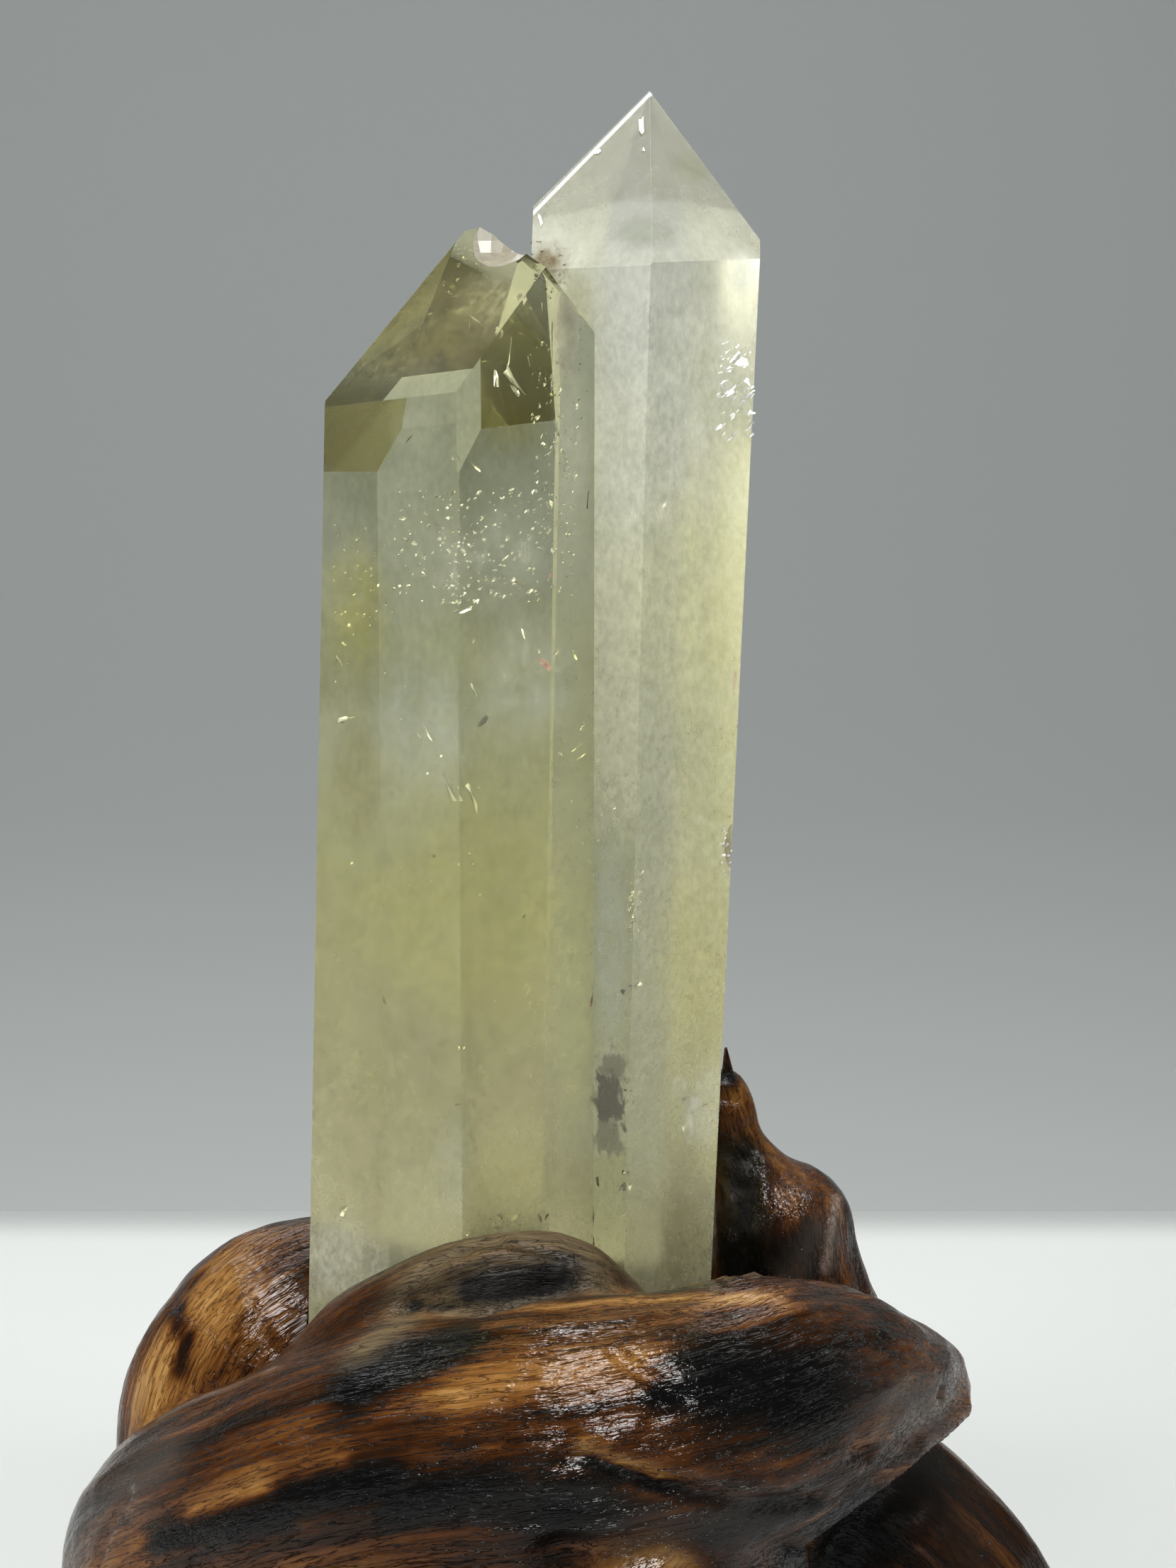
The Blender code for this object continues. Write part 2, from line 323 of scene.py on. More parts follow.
def cut_flat(piece, planes, grow=0.0):
    """Cuts away what lies beyond each plane, moved out by grow, in mm, and closes each cut."""
    only(piece)
    bpy.ops.object.mode_set(mode="EDIT")
    for point, facing in planes:
        facing = Vector(facing).normalized()
        bpy.ops.mesh.select_all(action="SELECT")
        bpy.ops.mesh.bisect(
            plane_co=(Vector(point) + facing * grow) * MM, plane_no=facing,
            use_fill=True, clear_outer=True, threshold=1e-7,
        )
    bpy.ops.object.mode_set(mode="OBJECT")


def values_of(piece, kind="co"):
    """The places, or the normals, of a mesh's corner points."""
    numbers = np.empty(len(piece.data.vertices) * 3, np.float32)
    piece.data.vertices.foreach_get(kind, numbers)
    return numbers.reshape(-1, 3)


def move_points(piece, points):
    """Puts a mesh's corner points at new places, given in mm."""
    points = points * MM
    piece.data.vertices.foreach_set("co", points.astype(np.float32).ravel())
    piece.data.update()


def triangles(piece):
    """How many triangles a mesh makes."""
    return sum(len(face.vertices) - 2 for face in piece.data.polygons)


def keep(piece, name, values, kind="FLOAT", domain="POINT", field="value"):
    """Keeps values on a mesh, one for each point, face or corner."""
    piece.data.attributes.new(name, kind, domain).data.foreach_set(field, values)


# %% Arms of the root: stations of x, y, z and radius along each, in mm
ARMS = {
    "heart": [(-36, 2, 8, 18), (-20, 4, 12, 23), (-2, 5, 13, 25), (16, 7, 12, 22), (28, 9, 8, 16)],
    "front_band": [
        (-51, -8, 2, 15), (-48, -14, 13.5, 16), (-36, -23, 23, 16.5), (-20, -31, 32, 17), (-2, -34, 35.5, 17),
        (13, -31, 37.2, 15.8), (25, -23, 38, 13.6), (35.5, -15, 36, 9.2), (42, -9, 33.2, 5.4),
    ],
    "front_skirt": [(-44, -22, 4, 14), (-28, -33, 10, 15), (-10, -38, 14, 14), (6, -36, 14, 11.5)],
    "front_toe": [
        (18, -28, 18, 8), (10, -42, 23, 8), (5, -48, 23.5, 7.5), (1.5, -50, 13, 8),
        (0, -49, 4, 10), (-1, -47, -2, 12),
    ],
    "inner_lip": [
        (-41, -12, 28, 5), (-33, -18.5, 36.5, 5.6), (-26, -21, 44.2, 6), (-17, -22, 48.8, 6.2),
        (-8, -22, 51, 6.3), (-1, -21, 49.5, 6), (3.5, -20, 45.3, 5),
    ],
    "left_root": [
        (-12, 25, 25, 13), (-27, 18.5, 29, 15.5), (-39.5, 10, 29, 16.6), (-44.5, 6, 23.5, 16.2),
        (-45.5, 2, 12, 16), (-44.5, 0, 0, 17),
    ],
    "right_prong": [(30, 15, 2, 13), (29.5, 14, 22, 12.5), (26.9, 13, 36, 10.8), (26.2, 13, 44.5, 9.5)],
    "prong_knob": [
        (24, 13.5, 46, 7.8), (21.5, 14.2, 51.5, 6.0), (19.6, 14.8, 55.5, 4.7), (18.5, 15, 58.5, 4.5),
        (18.1, 15, 61.3, 4.4), (17.8, 15, 62.8, 3.5),
    ],
    "right_foot": [
        (22, 6, 19, 13), (35, 5, 13.5, 10.8), (44, 3, 8, 9.6), (50.5, 1, 1.5, 9.4), (52, 0, -2, 9.8),
    ],
    "back_root": [(-26, 24, 22, 13), (-8, 28, 25, 12), (10, 26, 27, 11), (24, 19, 30, 10)],
    "back_foot": [(2, 22, 24, 13), (-3, 31, 12, 12), (-6, 33, 4, 13.5), (-7, 33, -2, 15)],
    "back_right_foot": [(24, 16, 24, 12), (31, 23, 10, 10.5), (33, 26, -2, 12)],
}
# Each scooped hollow: its centre, radius and stretch along each axis.
HOLLOWS = [((-2.5, -53.0, 31.5), 4.6, (1.2, 1.0, 0.75)), ((22.0, -1.0, 42.5), 6.6, (0.75, 1.0, 1.3))]
ARM_STEP = 3.0
WOOD_VOXEL = 0.75
WOOD_SMOOTHING = 22
SPIKE_PLACE, SPIKE_RADIUS, SPIKE_TIP, SPIKE_LENGTH, SPIKE_LEAN = (18.4, 15.0, 65.0), 1.5, 0.2, 8.0, -0.08


def smooth_stations(stations):
    """Points of a smooth curve through an arm's stations, each with its radius."""
    path = []
    knots = [Vector(station) for station in stations]
    for index in range(len(knots) - 1):
        before = knots[max(index - 1, 0)]
        start, end = knots[index], knots[index + 1]
        after = knots[min(index + 2, len(knots) - 1)]
        steps = max(2, round((end - start).length / ARM_STEP))
        for step in range(steps):
            t = step / steps
            bend = (
                (end - before) * t
                + (2 * before - 5 * start + 4 * end - after) * t ** 2
                + (3 * start - before - 3 * end + after) * t ** 3
            )
            path.append(start + bend / 2)
    path.append(knots[-1])
    return path


def add_ball(centre, radius, stretch=(1.0, 1.0, 1.0), segments=28):
    """A ball, given in mm, with its place in its mesh."""
    bpy.ops.object.select_all(action="DESELECT")
    bpy.ops.mesh.primitive_uv_sphere_add(
        segments=segments, ring_count=segments // 2, radius=radius * MM,
        location=Vector(centre) * MM, scale=stretch,
    )
    return in_place(bpy.context.object)


def make_arm(name, path):
    """A curve with a thickness at each point, made a mesh, with a ball over each end."""
    bpy.ops.object.select_all(action="DESELECT")
    bpy.ops.curve.primitive_nurbs_path_add()
    arm = bpy.context.object
    arm.name = name
    curve = arm.data
    curve.splines.clear()
    curve.bevel_depth = MM
    curve.bevel_resolution = 6
    curve.use_fill_caps = True
    spline = curve.splines.new("POLY")
    spline.points.add(len(path) - 1)
    for point, place in zip(spline.points, path):
        point.co = (*(place.xyz * MM), 1.0)
        point.radius = place.w
    bpy.ops.object.convert(target="MESH")
    return [bpy.context.object] + [add_ball(place.xyz, place.w) for place in (path[0], path[-1])]


arm_paths = {name: smooth_stations(stations) for name, stations in ARMS.items()}
lumps = [lump for name, path in arm_paths.items() for lump in make_arm(name, path)]
wood = only(lumps[0])
for lump in lumps:
    lump.select_set(True)
bpy.ops.object.join()
wood.name = "root_wood_stand"
wood.data.name = "root_wood_stand"
apply_modifier(wood, "REMESH", mode="VOXEL", voxel_size=WOOD_VOXEL * MM)
for hollow in HOLLOWS:
    carve(wood, add_ball(*hollow))
apply_modifier(wood, "REMESH", mode="VOXEL", voxel_size=WOOD_VOXEL * MM)
apply_modifier(wood, "SMOOTH", factor=0.5, iterations=WOOD_SMOOTHING)
bpy.ops.object.select_all(action="DESELECT")
bpy.ops.mesh.primitive_cone_add(
    vertices=16, radius1=SPIKE_RADIUS * MM, radius2=SPIKE_TIP * MM, depth=SPIKE_LENGTH * MM,
    location=Vector(SPIKE_PLACE) * MM, rotation=(0.0, SPIKE_LEAN, 0.0),
)
carve(wood, in_place(bpy.context.object), "UNION")
print("Fused root:", triangles(wood), "triangles")

# %% [markdown]
# ## Which way the fibres run
# Wood has a direction: streaks, flutes and shine all follow the arm they are in. So every point of the
# surface gets its place across and along the nearest arms, like a map drawn on each arm, and the
# pattern of one arm melts into that of the next where they fuse.


# %% Fibre coordinates
# A direction that no arm starts in, a distance beyond everything, and one too small to matter.
ANY_SIDE, FAR, TINY = (0.3, 0.2, 0.9), 1e9, 1e-9


def carried_frames(path):
    """Middle points, radii, distance along the arm, and two sideways directions that don't twist."""
    centres = np.array([place.xyz for place in path])
    radii = np.array([place.w for place in path])
    steps = np.diff(centres, axis=0)
    arcs = np.concatenate([[0.0], np.cumsum(np.linalg.norm(steps, axis=1))])
    tangents = np.gradient(centres, axis=0)
    tangents /= np.linalg.norm(tangents, axis=1, keepdims=True)
    side = np.cross(tangents[0], ANY_SIDE)
    sides = []
    for tangent in tangents:
        side = side - tangent * side.dot(tangent)
        side /= np.linalg.norm(side)
        sides.append(side)
    return centres, radii, arcs, np.array(sides), tangents


def place_on_arm(points, path):
    """How far each point is outside an arm's skin, and its place across and along the arm, in mm."""
    centres, radii, arcs, sides, tangents = carried_frames(path)
    depth = np.full(len(points), FAR)
    place = np.zeros((len(points), 3))
    for i in range(len(centres) - 1):
        run = centres[i + 1] - centres[i]
        share = np.clip((points - centres[i]) @ run / run.dot(run), 0.0, 1.0)[:, None]
        offset = points - centres[i] - share * run
        here = np.linalg.norm(offset, axis=1) - radii[i] - share[:, 0] * (radii[i + 1] - radii[i])
        closer = here < depth
        side = sides[i] + share * (sides[i + 1] - sides[i])
        along = tangents[i] + share * (tangents[i + 1] - tangents[i])
        found = np.stack([
            (offset * side).sum(axis=1),
            (offset * np.cross(along, side)).sum(axis=1),
            (offset * along).sum(axis=1) + arcs[i] + share[:, 0] * (arcs[i + 1] - arcs[i]),
        ], axis=1)
        depth[closer] = here[closer]
        place[closer] = found[closer]
    return depth, place


FIBRE_FADE = 1.3
ARM_SHIFT = 137.0


def fibre_places(points):
    """For every arm: its depth at each point, and the point's place on it, shifted so arms differ."""
    depths, places = [], []
    for number, path in enumerate(arm_paths.values()):
        depth, place = place_on_arm(points, path)
        depths.append(depth)
        places.append(place + ARM_SHIFT * number)
    return np.array(depths), np.array(places)


def second_share(depths, order):
    """How much of the second nearest arm shows: half where two are equally near, none near a third."""
    reach = np.exp(-np.take_along_axis(depths, order, axis=0) / FIBRE_FADE)
    first, second = reach[0] - reach[2], reach[1] - reach[2]
    return second / np.maximum(first + second, TINY)


points = values_of(wood) / MM
depths, places = fibre_places(points)
order = np.argsort(depths, axis=0)[:3]
everywhere = np.arange(len(points))
first_place, second_place = places[order[0], everywhere], places[order[1], everywhere]
share = second_share(depths, order)
print("Points of the root:", len(points))

# %% [markdown]
# ## Carving the skin
# The skin isn't smooth: broad lumps, flutes that run with the fibres, a long dark crease under the
# band, knots, pits, and a rough torn hollow on the prong. Broad forms are soft noise. The crease and
# the pits are pressed in where a ray from the picture meets the wood.

# %% Lumps and flutes
LUMP_SIZE, LUMP_HEIGHT = 13.0, 0.55
FLUTES = [((3.2, 3.2, 26.0), 0.42), ((1.7, 1.7, 7.0), 0.22)]


def noise_at(places, cell):
    """Soft noise from -1 to 1 at each place, with cells of a size along each axis."""
    return np.array([noise.noise(Vector(place)) for place in places / np.array(cell)])


normals = values_of(wood, "normal")
lift = LUMP_HEIGHT * noise_at(points, (LUMP_SIZE, LUMP_SIZE, LUMP_SIZE))
for cell, height in FLUTES:
    lift += height * ((1.0 - share) * noise_at(first_place, cell) + share * noise_at(second_place, cell))
points = points + normals * lift[:, None]
move_points(wood, points)


# %% Strokes placed by the picture
def surface_finder(piece):
    """A function that gives the surface point, in mm, behind a point of the picture."""
    tree = BVHTree.FromObject(piece, bpy.context.evaluated_depsgraph_get())

    def find(px, py):
        hit = tree.ray_cast(CAMERA_PLACE, ray_through(px, py))[0]
        return None if hit is None else np.array(hit) / MM

    return find


def near_stroke(points, stroke, half_width, find):
    """1 on a line that is drawn on the surface through points of the picture, fading to 0 beside it."""
    line = [find(px, py) for px, py in stroke]
    line = [place for place in line if place is not None]
    nearest = np.full(len(points), FAR)
    for start, end in zip(line, line[1:] or line):
        run = end - start
        share = np.clip((points - start) @ run / max(run.dot(run), TINY), 0.0, 1.0)[:, None]
        nearest = np.minimum(nearest, np.linalg.norm(points - start - share * run, axis=1))
    return np.exp(-(nearest / half_width) ** 2)


# Each carved line: points of the picture, depth in mm (negative is raised), half width in mm.
CARVED = [
    (
        [(802, 2053), (824, 2050), (870, 2076), (940, 2098), (1010, 2112), (1080, 2122), (1149, 2122)],
        1.2, 1.2,
    ),
    ([(840, 2030), (900, 2058), (980, 2080), (1060, 2095)], -0.5, 2.0),
    ([(865, 1905), (900, 1932), (935, 1958), (968, 1972)], 0.5, 0.7),
    ([(178, 2112), (150, 2160), (135, 2205)], 0.8, 0.8),
    ([(807, 1776), (803, 1800), (796, 1825)], 0.8, 0.6),
    ([(1355, 1985), (1290, 2040), (1200, 2110), (1120, 2168)], -1.5, 1.4),
    ([(1345, 2035), (1260, 2110), (1175, 2185)], 0.9, 1.8),
    ([(580, 1836), (680, 1846), (775, 1818)], 1.4, 1.3),
    ([(1210, 2046), (1226, 2050)], 0.9, 1.3),
    ([(1328, 1966)], 0.7, 0.8),
    ([(1049, 1597)], 0.6, 0.8),
    ([(1078, 1640), (1075, 1700), (1080, 1780)], -0.6, 1.0),
    ([(1181, 1690), (1170, 1745), (1166, 1790)], -0.7, 0.9),
    ([(700, 2036), (660, 2060), (600, 2075)], 0.6, 0.9),
    ([(735, 1733), (760, 1736)], -0.7, 1.6),
    ([(836, 1796), (838, 1812)], -0.9, 1.5),
    ([(598, 1800), (640, 1768), (690, 1750), (740, 1757), (790, 1772)], 0.5, 0.9),
    ([(640, 1785), (700, 1772), (760, 1780)], -0.5, 0.9),
    ([(560, 1850), (600, 1822), (650, 1808)], 0.5, 0.9),
    ([(330, 1790), (345, 1850), (335, 1920)], -0.5, 1.4),
    ([(1015, 1545), (1035, 1552)], 0.5, 0.9),
]
# Each pitted patch: points of the picture, half width, depth and size of the pits in mm.
PITTED = [
    ([(1040, 1640), (1045, 1720), (1045, 1800)], 3.0, 0.9, 1.7),
    ([(380, 1800), (400, 1850), (380, 1900)], 3.0, 0.35, 2.2),
    ([(620, 1960), (760, 2000), (900, 2010)], 5.0, 0.35, 2.4),
    ([(560, 1850), (650, 1768), (740, 1745), (830, 1790)], 2.4, 0.5, 2.2),
    ([(1240, 2100), (1290, 2150), (1300, 2200)], 4.0, 0.5, 2.4),
]
find = surface_finder(wood)
lift = np.zeros(len(points))
for stroke, depth, half_width in CARVED:
    lift -= depth * near_stroke(points, stroke, half_width, find)
for stroke, half_width, depth, cell in PITTED:
    pits = noise_at(points, (cell, cell, cell))
    lift += depth * pits * near_stroke(points, stroke, half_width, find)
points = points + values_of(wood, "normal") * lift[:, None]
move_points(wood, points)


# %% Sawn foot
cut_flat(wood, [((0.0, 0.0, 0.0), (0.0, 0.0, -1.0))])
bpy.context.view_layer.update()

# %% [markdown]
# ## Grinding the stone
# A lapidary grinds one flat facet after another on a rough block, and the model is cut the same way:
# each facet is one bisect with its cut face filled. The two columns are then joined into one stone.

# %% Planes of the stone
STONE_FOOT, STONE_LOW, STONE_HIGH, STONE_BLANK_TOP = 24.0, 40.0, 150.0, 205.0
BLANK_WIDTH = 120.0
# Corners of each column, at the low and at the high level.
LEFT_COLUMN_LOW = [(-35.1, -3.0), (-15.1, -14.0), (9.0, -1.6), (4.0, 6.1), (-21.2, 17.8), (-35.1, 10.2)]
LEFT_COLUMN_HIGH = [(-31.1, -3.4), (-14.2, -14.0), (7.0, 0.0), (4.0, 6.1), (-21.2, 17.8), (-31.1, 12.4)]
RIGHT_COLUMN_LOW = [(4.3, -8.0), (15.4, -1.0), (15.4, 14.0), (3.5, 21.5), (-10.0, 13.5), (-10.0, 0.2)]
RIGHT_COLUMN_HIGH = [(6.4, -8.0), (19.6, -0.6), (19.6, 14.6), (6.2, 22.5), (-7.2, 14.0), (-7.2, -0.2)]
LEFT_SHOULDER = (-31.0, -3.4, 152.8)
LEFT_CREST = (-13.3, 3.2, 174.1)
RIGHT_APEX = (7.4, 8.0, 189.6)
# Lower tip: a point on each facet, and the way it faces. Taller tip: azimuth and slope in degrees.
LEFT_TIP_FACETS = [
    (LEFT_SHOULDER, (-0.443, -0.689, 0.574)),
    (LEFT_SHOULDER, (-0.775, 0.0, 0.632)),
    (LEFT_CREST, (0.73, 0.21, 0.64)),
    ((-21.2, 17.8, 144.1), (-0.418, 0.770, 0.482)),
    ((-21.2, 17.8, 149.0), (0.343, 0.834, 0.432)),
]
RIGHT_TIP_FACETS = [(240, 56.5), (300, 56.5), (0, 53.9), (60, 55.0), (120, 55.0), (180, 44.6)]
# Each chip: its centre, radius and stretch along each axis.
CREST_CHIP = ((-11.5, -4.6, 175.0), 6.9, (1.0, 1.0, 1.0))
EDGE_CHIP = ((18.2, -2.0, 98.7), 2.6, (0.6, 1.0, 1.5))


def column_planes(low, high):
    """The plane of each side of a column, from its corners at the two heights."""
    planes = []
    for index, here in enumerate(low):
        after = (index + 1) % len(low)
        start = Vector((*here, STONE_LOW))
        along = Vector((*low[after], STONE_LOW)) - start
        middle_high = Vector((*high[index], STONE_HIGH)).lerp(Vector((*high[after], STONE_HIGH)), 0.5)
        planes.append((start, along.cross(middle_high - start - along / 2).normalized()))
    return planes


def right_tip_planes():
    """The six slanting planes that meet at the taller point."""
    planes = []
    for azimuth, slope in RIGHT_TIP_FACETS:
        turn, lean = math.radians(azimuth), math.radians(slope)
        facing = (math.cos(turn) * math.sin(lean), math.sin(turn) * math.sin(lean), math.cos(lean))
        planes.append((RIGHT_APEX, facing))
    return planes


def ground_column(name, planes, grow):
    """A block ground flat on each plane, every plane moved out by grow, in mm."""
    bpy.ops.object.select_all(action="DESELECT")
    bpy.ops.mesh.primitive_cube_add(
        size=1.0, location=(0.0, 0.0, (STONE_BLANK_TOP + STONE_FOOT - grow) / 2 * MM),
        scale=(BLANK_WIDTH * MM, BLANK_WIDTH * MM, (STONE_BLANK_TOP - STONE_FOOT + grow) * MM),
    )
    block = in_place(bpy.context.object)
    block.name = name
    cut_flat(block, planes, grow)
    return block


LOWER_PLANES = column_planes(LEFT_COLUMN_LOW, LEFT_COLUMN_HIGH) + LEFT_TIP_FACETS
TALLER_PLANES = column_planes(RIGHT_COLUMN_LOW, RIGHT_COLUMN_HIGH) + right_tip_planes()
BEVEL = 0.2
BEVEL_ANGLE = 12.0
SOCKET_GAP = 0.3


def ground_stone(name, grow=0.0, chipped=True):
    """Both columns in one solid, with every face moved out by grow, in mm."""
    stone = ground_column(name, LOWER_PLANES, grow)
    taller = ground_column(name + "_taller", TALLER_PLANES, grow)
    if chipped:
        for column, (centre, radius, stretch) in ((stone, CREST_CHIP), (taller, EDGE_CHIP)):
            carve(column, add_ball(centre, radius - grow, stretch, segments=24), solver="EXACT")
    carve(stone, taller, "UNION", "EXACT")
    return stone


def round_edges(piece):
    """Takes the sharpness off every ridge, as polishing does."""
    angle = math.radians(BEVEL_ANGLE)
    apply_modifier(piece, "BEVEL", width=BEVEL * MM, segments=2, limit_method="ANGLE", angle_limit=angle)


# %% The stone, and its socket in the root
crystal = ground_stone("citrine_stone")
round_edges(crystal)
carve(wood, ground_stone("socket", SOCKET_GAP, chipped=False))
print("Stone:", triangles(crystal), "triangles; wood:", triangles(wood))

# %% [markdown]
# ## Colour and clouds of the stone
# The colour is in zones: nearly clear above, lemon yellow in clouds below, and white at the taller tip.
# The lower point is clear above and cloudy towards its foot. The taller one is grainy and milky nearly
# all over, except for a clear window on its narrow left side. One node group works all of this out, from
# the place on the stone and from four marks on its faces: which point they are of, whether they are
# part of a chip, whether they are a rounded edge, and whether they are the side with the window.


# %% Marks on the faces
def outside(planes, place):
    """How far a place is outside a block with these planes, in mm."""
    return max((place - Vector(point)).dot(Vector(facing).normalized()) for point, facing in planes)


def in_chip(place):
    """Whether a place is on the hollow of one of the two chips."""
    for centre, radius, stretch in (CREST_CHIP, EDGE_CHIP):
        offset = place - Vector(centre)
        if Vector(offset[axis] / stretch[axis] for axis in range(3)).length < radius + CHIP_MARGIN:
            return True
    return False


def mark_faces(piece):
    """Keeps on each face whether it is of the taller point, in a chip, on an edge, or in the clear window."""
    marks = {"taller": [], "broken": [], "edge": [], "window": []}
    piece.data.calc_loop_triangles()
    widest = {}
    for part in sorted(piece.data.loop_triangles, key=lambda part: part.area):
        widest[part.polygon_index] = part.center / MM
    for face in piece.data.polygons:
        middle, facing = widest[face.index], face.normal
        taller = outside(TALLER_PLANES, middle) < outside(LOWER_PLANES, middle)
        sides = [(piece.data.vertices[start].co - piece.data.vertices[end].co).length
                 for start, end in face.edge_keys]
        marks["taller"].append(float(taller))
        marks["broken"].append(float(in_chip(middle)))
        marks["edge"].append(float(face.area / max(sides) < BEVEL * MM))
        marks["window"].append(float(taller and facing.x < WINDOW_FACING and facing.y < WINDOW_FACING))
    for name, values in marks.items():
        keep(piece, name, values, domain="FACE")
    print(piece.name, {name: int(sum(values)) for name, values in marks.items()})


CHIP_MARGIN = 0.15
WINDOW_FACING = -0.3
mark_faces(crystal)

# %% Places on the stone
stone_tree = BVHTree.FromObject(crystal, bpy.context.evaluated_depsgraph_get())


def on_stone(px, py):
    """The point of the stone's skin, in mm, behind a point of the picture."""
    return stone_tree.ray_cast(CAMERA_PLACE, ray_through(px, py))[0] / MM


def vector_step(operation, *places):
    """One step of arithmetic on places."""
    return follow("ShaderNodeVectorMath", dict(enumerate(places)), operation=operation)


def in_half_sizes(place, centre, half_size):
    """The place as seen from a centre, in half sizes along each axis; both are given in mm."""
    scale = [1.0 / (size * MM) for size in half_size]
    return stretched(place, scale, [-middle / size for middle, size in zip(centre, half_size)])


def blob(place, centre, half_size):
    """A soft-edged egg, 1 in the middle and 0 outside."""
    reach = vector_step("LENGTH", in_half_sizes(place, centre, half_size))["Value"]
    return spread(reach, *BLOB_EDGE, smooth=True)


def box_mask(place, centre, half_size, ragged_by):
    """A box with soft, ragged sides: 1 inside and 0 outside."""
    inside = vector_step("ABSOLUTE", in_half_sizes(place, centre, half_size))[0]
    axes = axes_of(inside)
    reach = combine("MAXIMUM", axes["X"], combine("MAXIMUM", axes["Y"], axes["Z"]))
    return spread(times_plus(ragged_by, BOX_RAGGED, reach), *BOX_EDGE, smooth=True)


def line_mask(place, start, end, half_width):
    """1 on the straight line through two points in mm, and 0 beside it."""
    from_start = stretched(place, (1.0, 1.0, 1.0), -start * MM)
    across = vector_step("CROSS_PRODUCT", from_start, (end - start).normalized())[0]
    away = vector_step("LENGTH", across)["Value"]
    return spread(away, half_width * MM, half_width * LINE_CORE * MM, smooth=True)


BLOB_EDGE, BOX_EDGE, BOX_RAGGED, LINE_CORE = (1.15, 0.35), (2.8, 2.2), 3.0, 0.4


# %% Zones of colour: share of the height, and colour
LOWER_ZONES = [
    (0.00, (0.80, 0.76, 0.46)), (0.20, (0.61, 0.57, 0.32)), (0.38, (0.74, 0.71, 0.34)),
    (0.50, (0.82, 0.81, 0.48)), (0.64, (0.88, 0.89, 0.70)), (0.85, (0.88, 0.88, 0.64)),
    (1.00, (0.86, 0.84, 0.56)),
]
TALLER_ZONES = [
    (0.00, (0.66, 0.62, 0.38)), (0.14, (0.70, 0.68, 0.46)), (0.38, (0.70, 0.69, 0.49)),
    (0.60, (0.89, 0.88, 0.66)), (0.75, (0.97, 0.97, 0.82)), (0.90, (0.93, 0.94, 0.86)),
    (1.00, (0.92, 0.93, 0.86)),
]
# Each cloud: a point of the picture, half size in mm, colour, strength.
CLOUDS = [
    ((500, 860), (5, 12, 10), (0.9, 0.86, 0.34), 1), ((660, 1300), (19, 14, 15), (0.76, 0.72, 0.28), 1),
    ((600, 1010), (9, 12, 10), (0.88, 0.9, 0.78), 1), ((740, 950), (8, 9, 9), (0.9, 0.92, 0.78), 0.8),
    ((610, 455), (16, 14, 8), (0.84, 0.79, 0.4), 1), ((722, 600), (5, 8, 4), (0.8, 0.76, 0.34), 1),
    ((480, 1780), (8, 14, 7), (0.95, 0.93, 0.68), 1), ((640, 1650), (3, 8, 8), (0.66, 0.64, 0.46), 0.8),
    ((960, 850), (8, 9, 16), (0.98, 0.96, 0.62), 0.8), ((1000, 1150), (8, 9, 9), (0.8, 0.8, 0.56), 0.7),
    ((960, 1350), (5, 9, 12), (0.9, 0.86, 0.5), 0.8), ((1000, 1560), (4, 8, 6), (0.99, 0.99, 0.92), 0.9),
    ((880, 470), (6, 8, 8), (0.85, 0.86, 0.78), 0.7), ((770, 372), (2.8, 5, 3.4), (0.26, 0.21, 0.12), 1),
    ((798, 470), (1.8, 5, 7), (0.36, 0.32, 0.22), 0.9), ((862, 1330), (2.4, 5, 15), (0.92, 0.95, 0.92), 1),
    ((806, 1400), (3, 6, 20), (0.76, 0.73, 0.34), 1), ((985, 1350), (6, 8, 16), (0.74, 0.71, 0.38), 0.7),
    ((500, 1100), (4, 9, 10), (0.58, 0.52, 0.2), 0.9), ((915, 325), (5, 6, 2.6), (0.66, 0.68, 0.58), 0.9),
    ((680, 440), (5, 10, 5), (0.72, 0.68, 0.36), 0.6), ((975, 235), (2.4, 4, 2.6), (0.7, 0.71, 0.5), 0.7),
]
ZONE_LOW, ZONE_HIGH = 40.0, 188.0
# Milkiness by the share of the height: how much white the skin lays over the clear stone.
LOWER_MILK = [(0.0, 0.42), (0.12, 0.30), (0.30, 0.20), (0.50, 0.10), (0.66, 0.07), (0.71, 0.0)]
TALLER_MILK = [(0.0, 0.36), (0.10, 0.30), (0.5, 0.38), (0.8, 0.46), (0.9, 0.26), (1.0, 0.24)]
# Each milk patch: a point of the picture, half size in mm, milkiness.
MILK_PATCHES = [
    ((770, 372), (2.6, 5, 3.4), 0.75), ((798, 470), (1.8, 5, 7), 0.6), ((585, 610), (3.5, 8, 4), 0.12),
    ((590, 470), (15, 14, 9), 0.12), ((690, 430), (5, 14, 5), 0.2), ((808, 640), (2.6, 6, 12), 0.25),
    ((490, 830), (5, 8, 9), 0.16), ((700, 780), (9, 9, 7), 0.25), ((740, 960), (6, 9, 9), 0.25),
    ((600, 1500), (15, 12, 12), 0.14), ((957, 1533), (1.3, 5, 1.7), 0.8), ((978, 1556), (1.2, 5, 1.3), 0.7),
    ((972, 1590), (0.7, 5, 2.6), 0.7), ((935, 719), (2.2, 5, 1.4), 0.7), ((891, 728), (1.2, 5, 1.2), 0.6),
    ((1035, 580), (2.2, 5, 6), 0.5), ((1046, 500), (1.8, 5, 3), 0.5), ((1046, 388), (2.6, 6, 3.2), 0.75),
    ((480, 1780), (8, 12, 6), 0.45), ((1005, 800), (5, 10, 24), 0.42), ((990, 1250), (5, 10, 12), 0.5),
    ((862, 1330), (2.2, 5, 17), 0.05), ((780, 1420), (7, 8, 26), 0.3),
]
WINDOW_TOP, WINDOW_FADE, WINDOW_RAGGED = 97.0, 108.0, 20.0
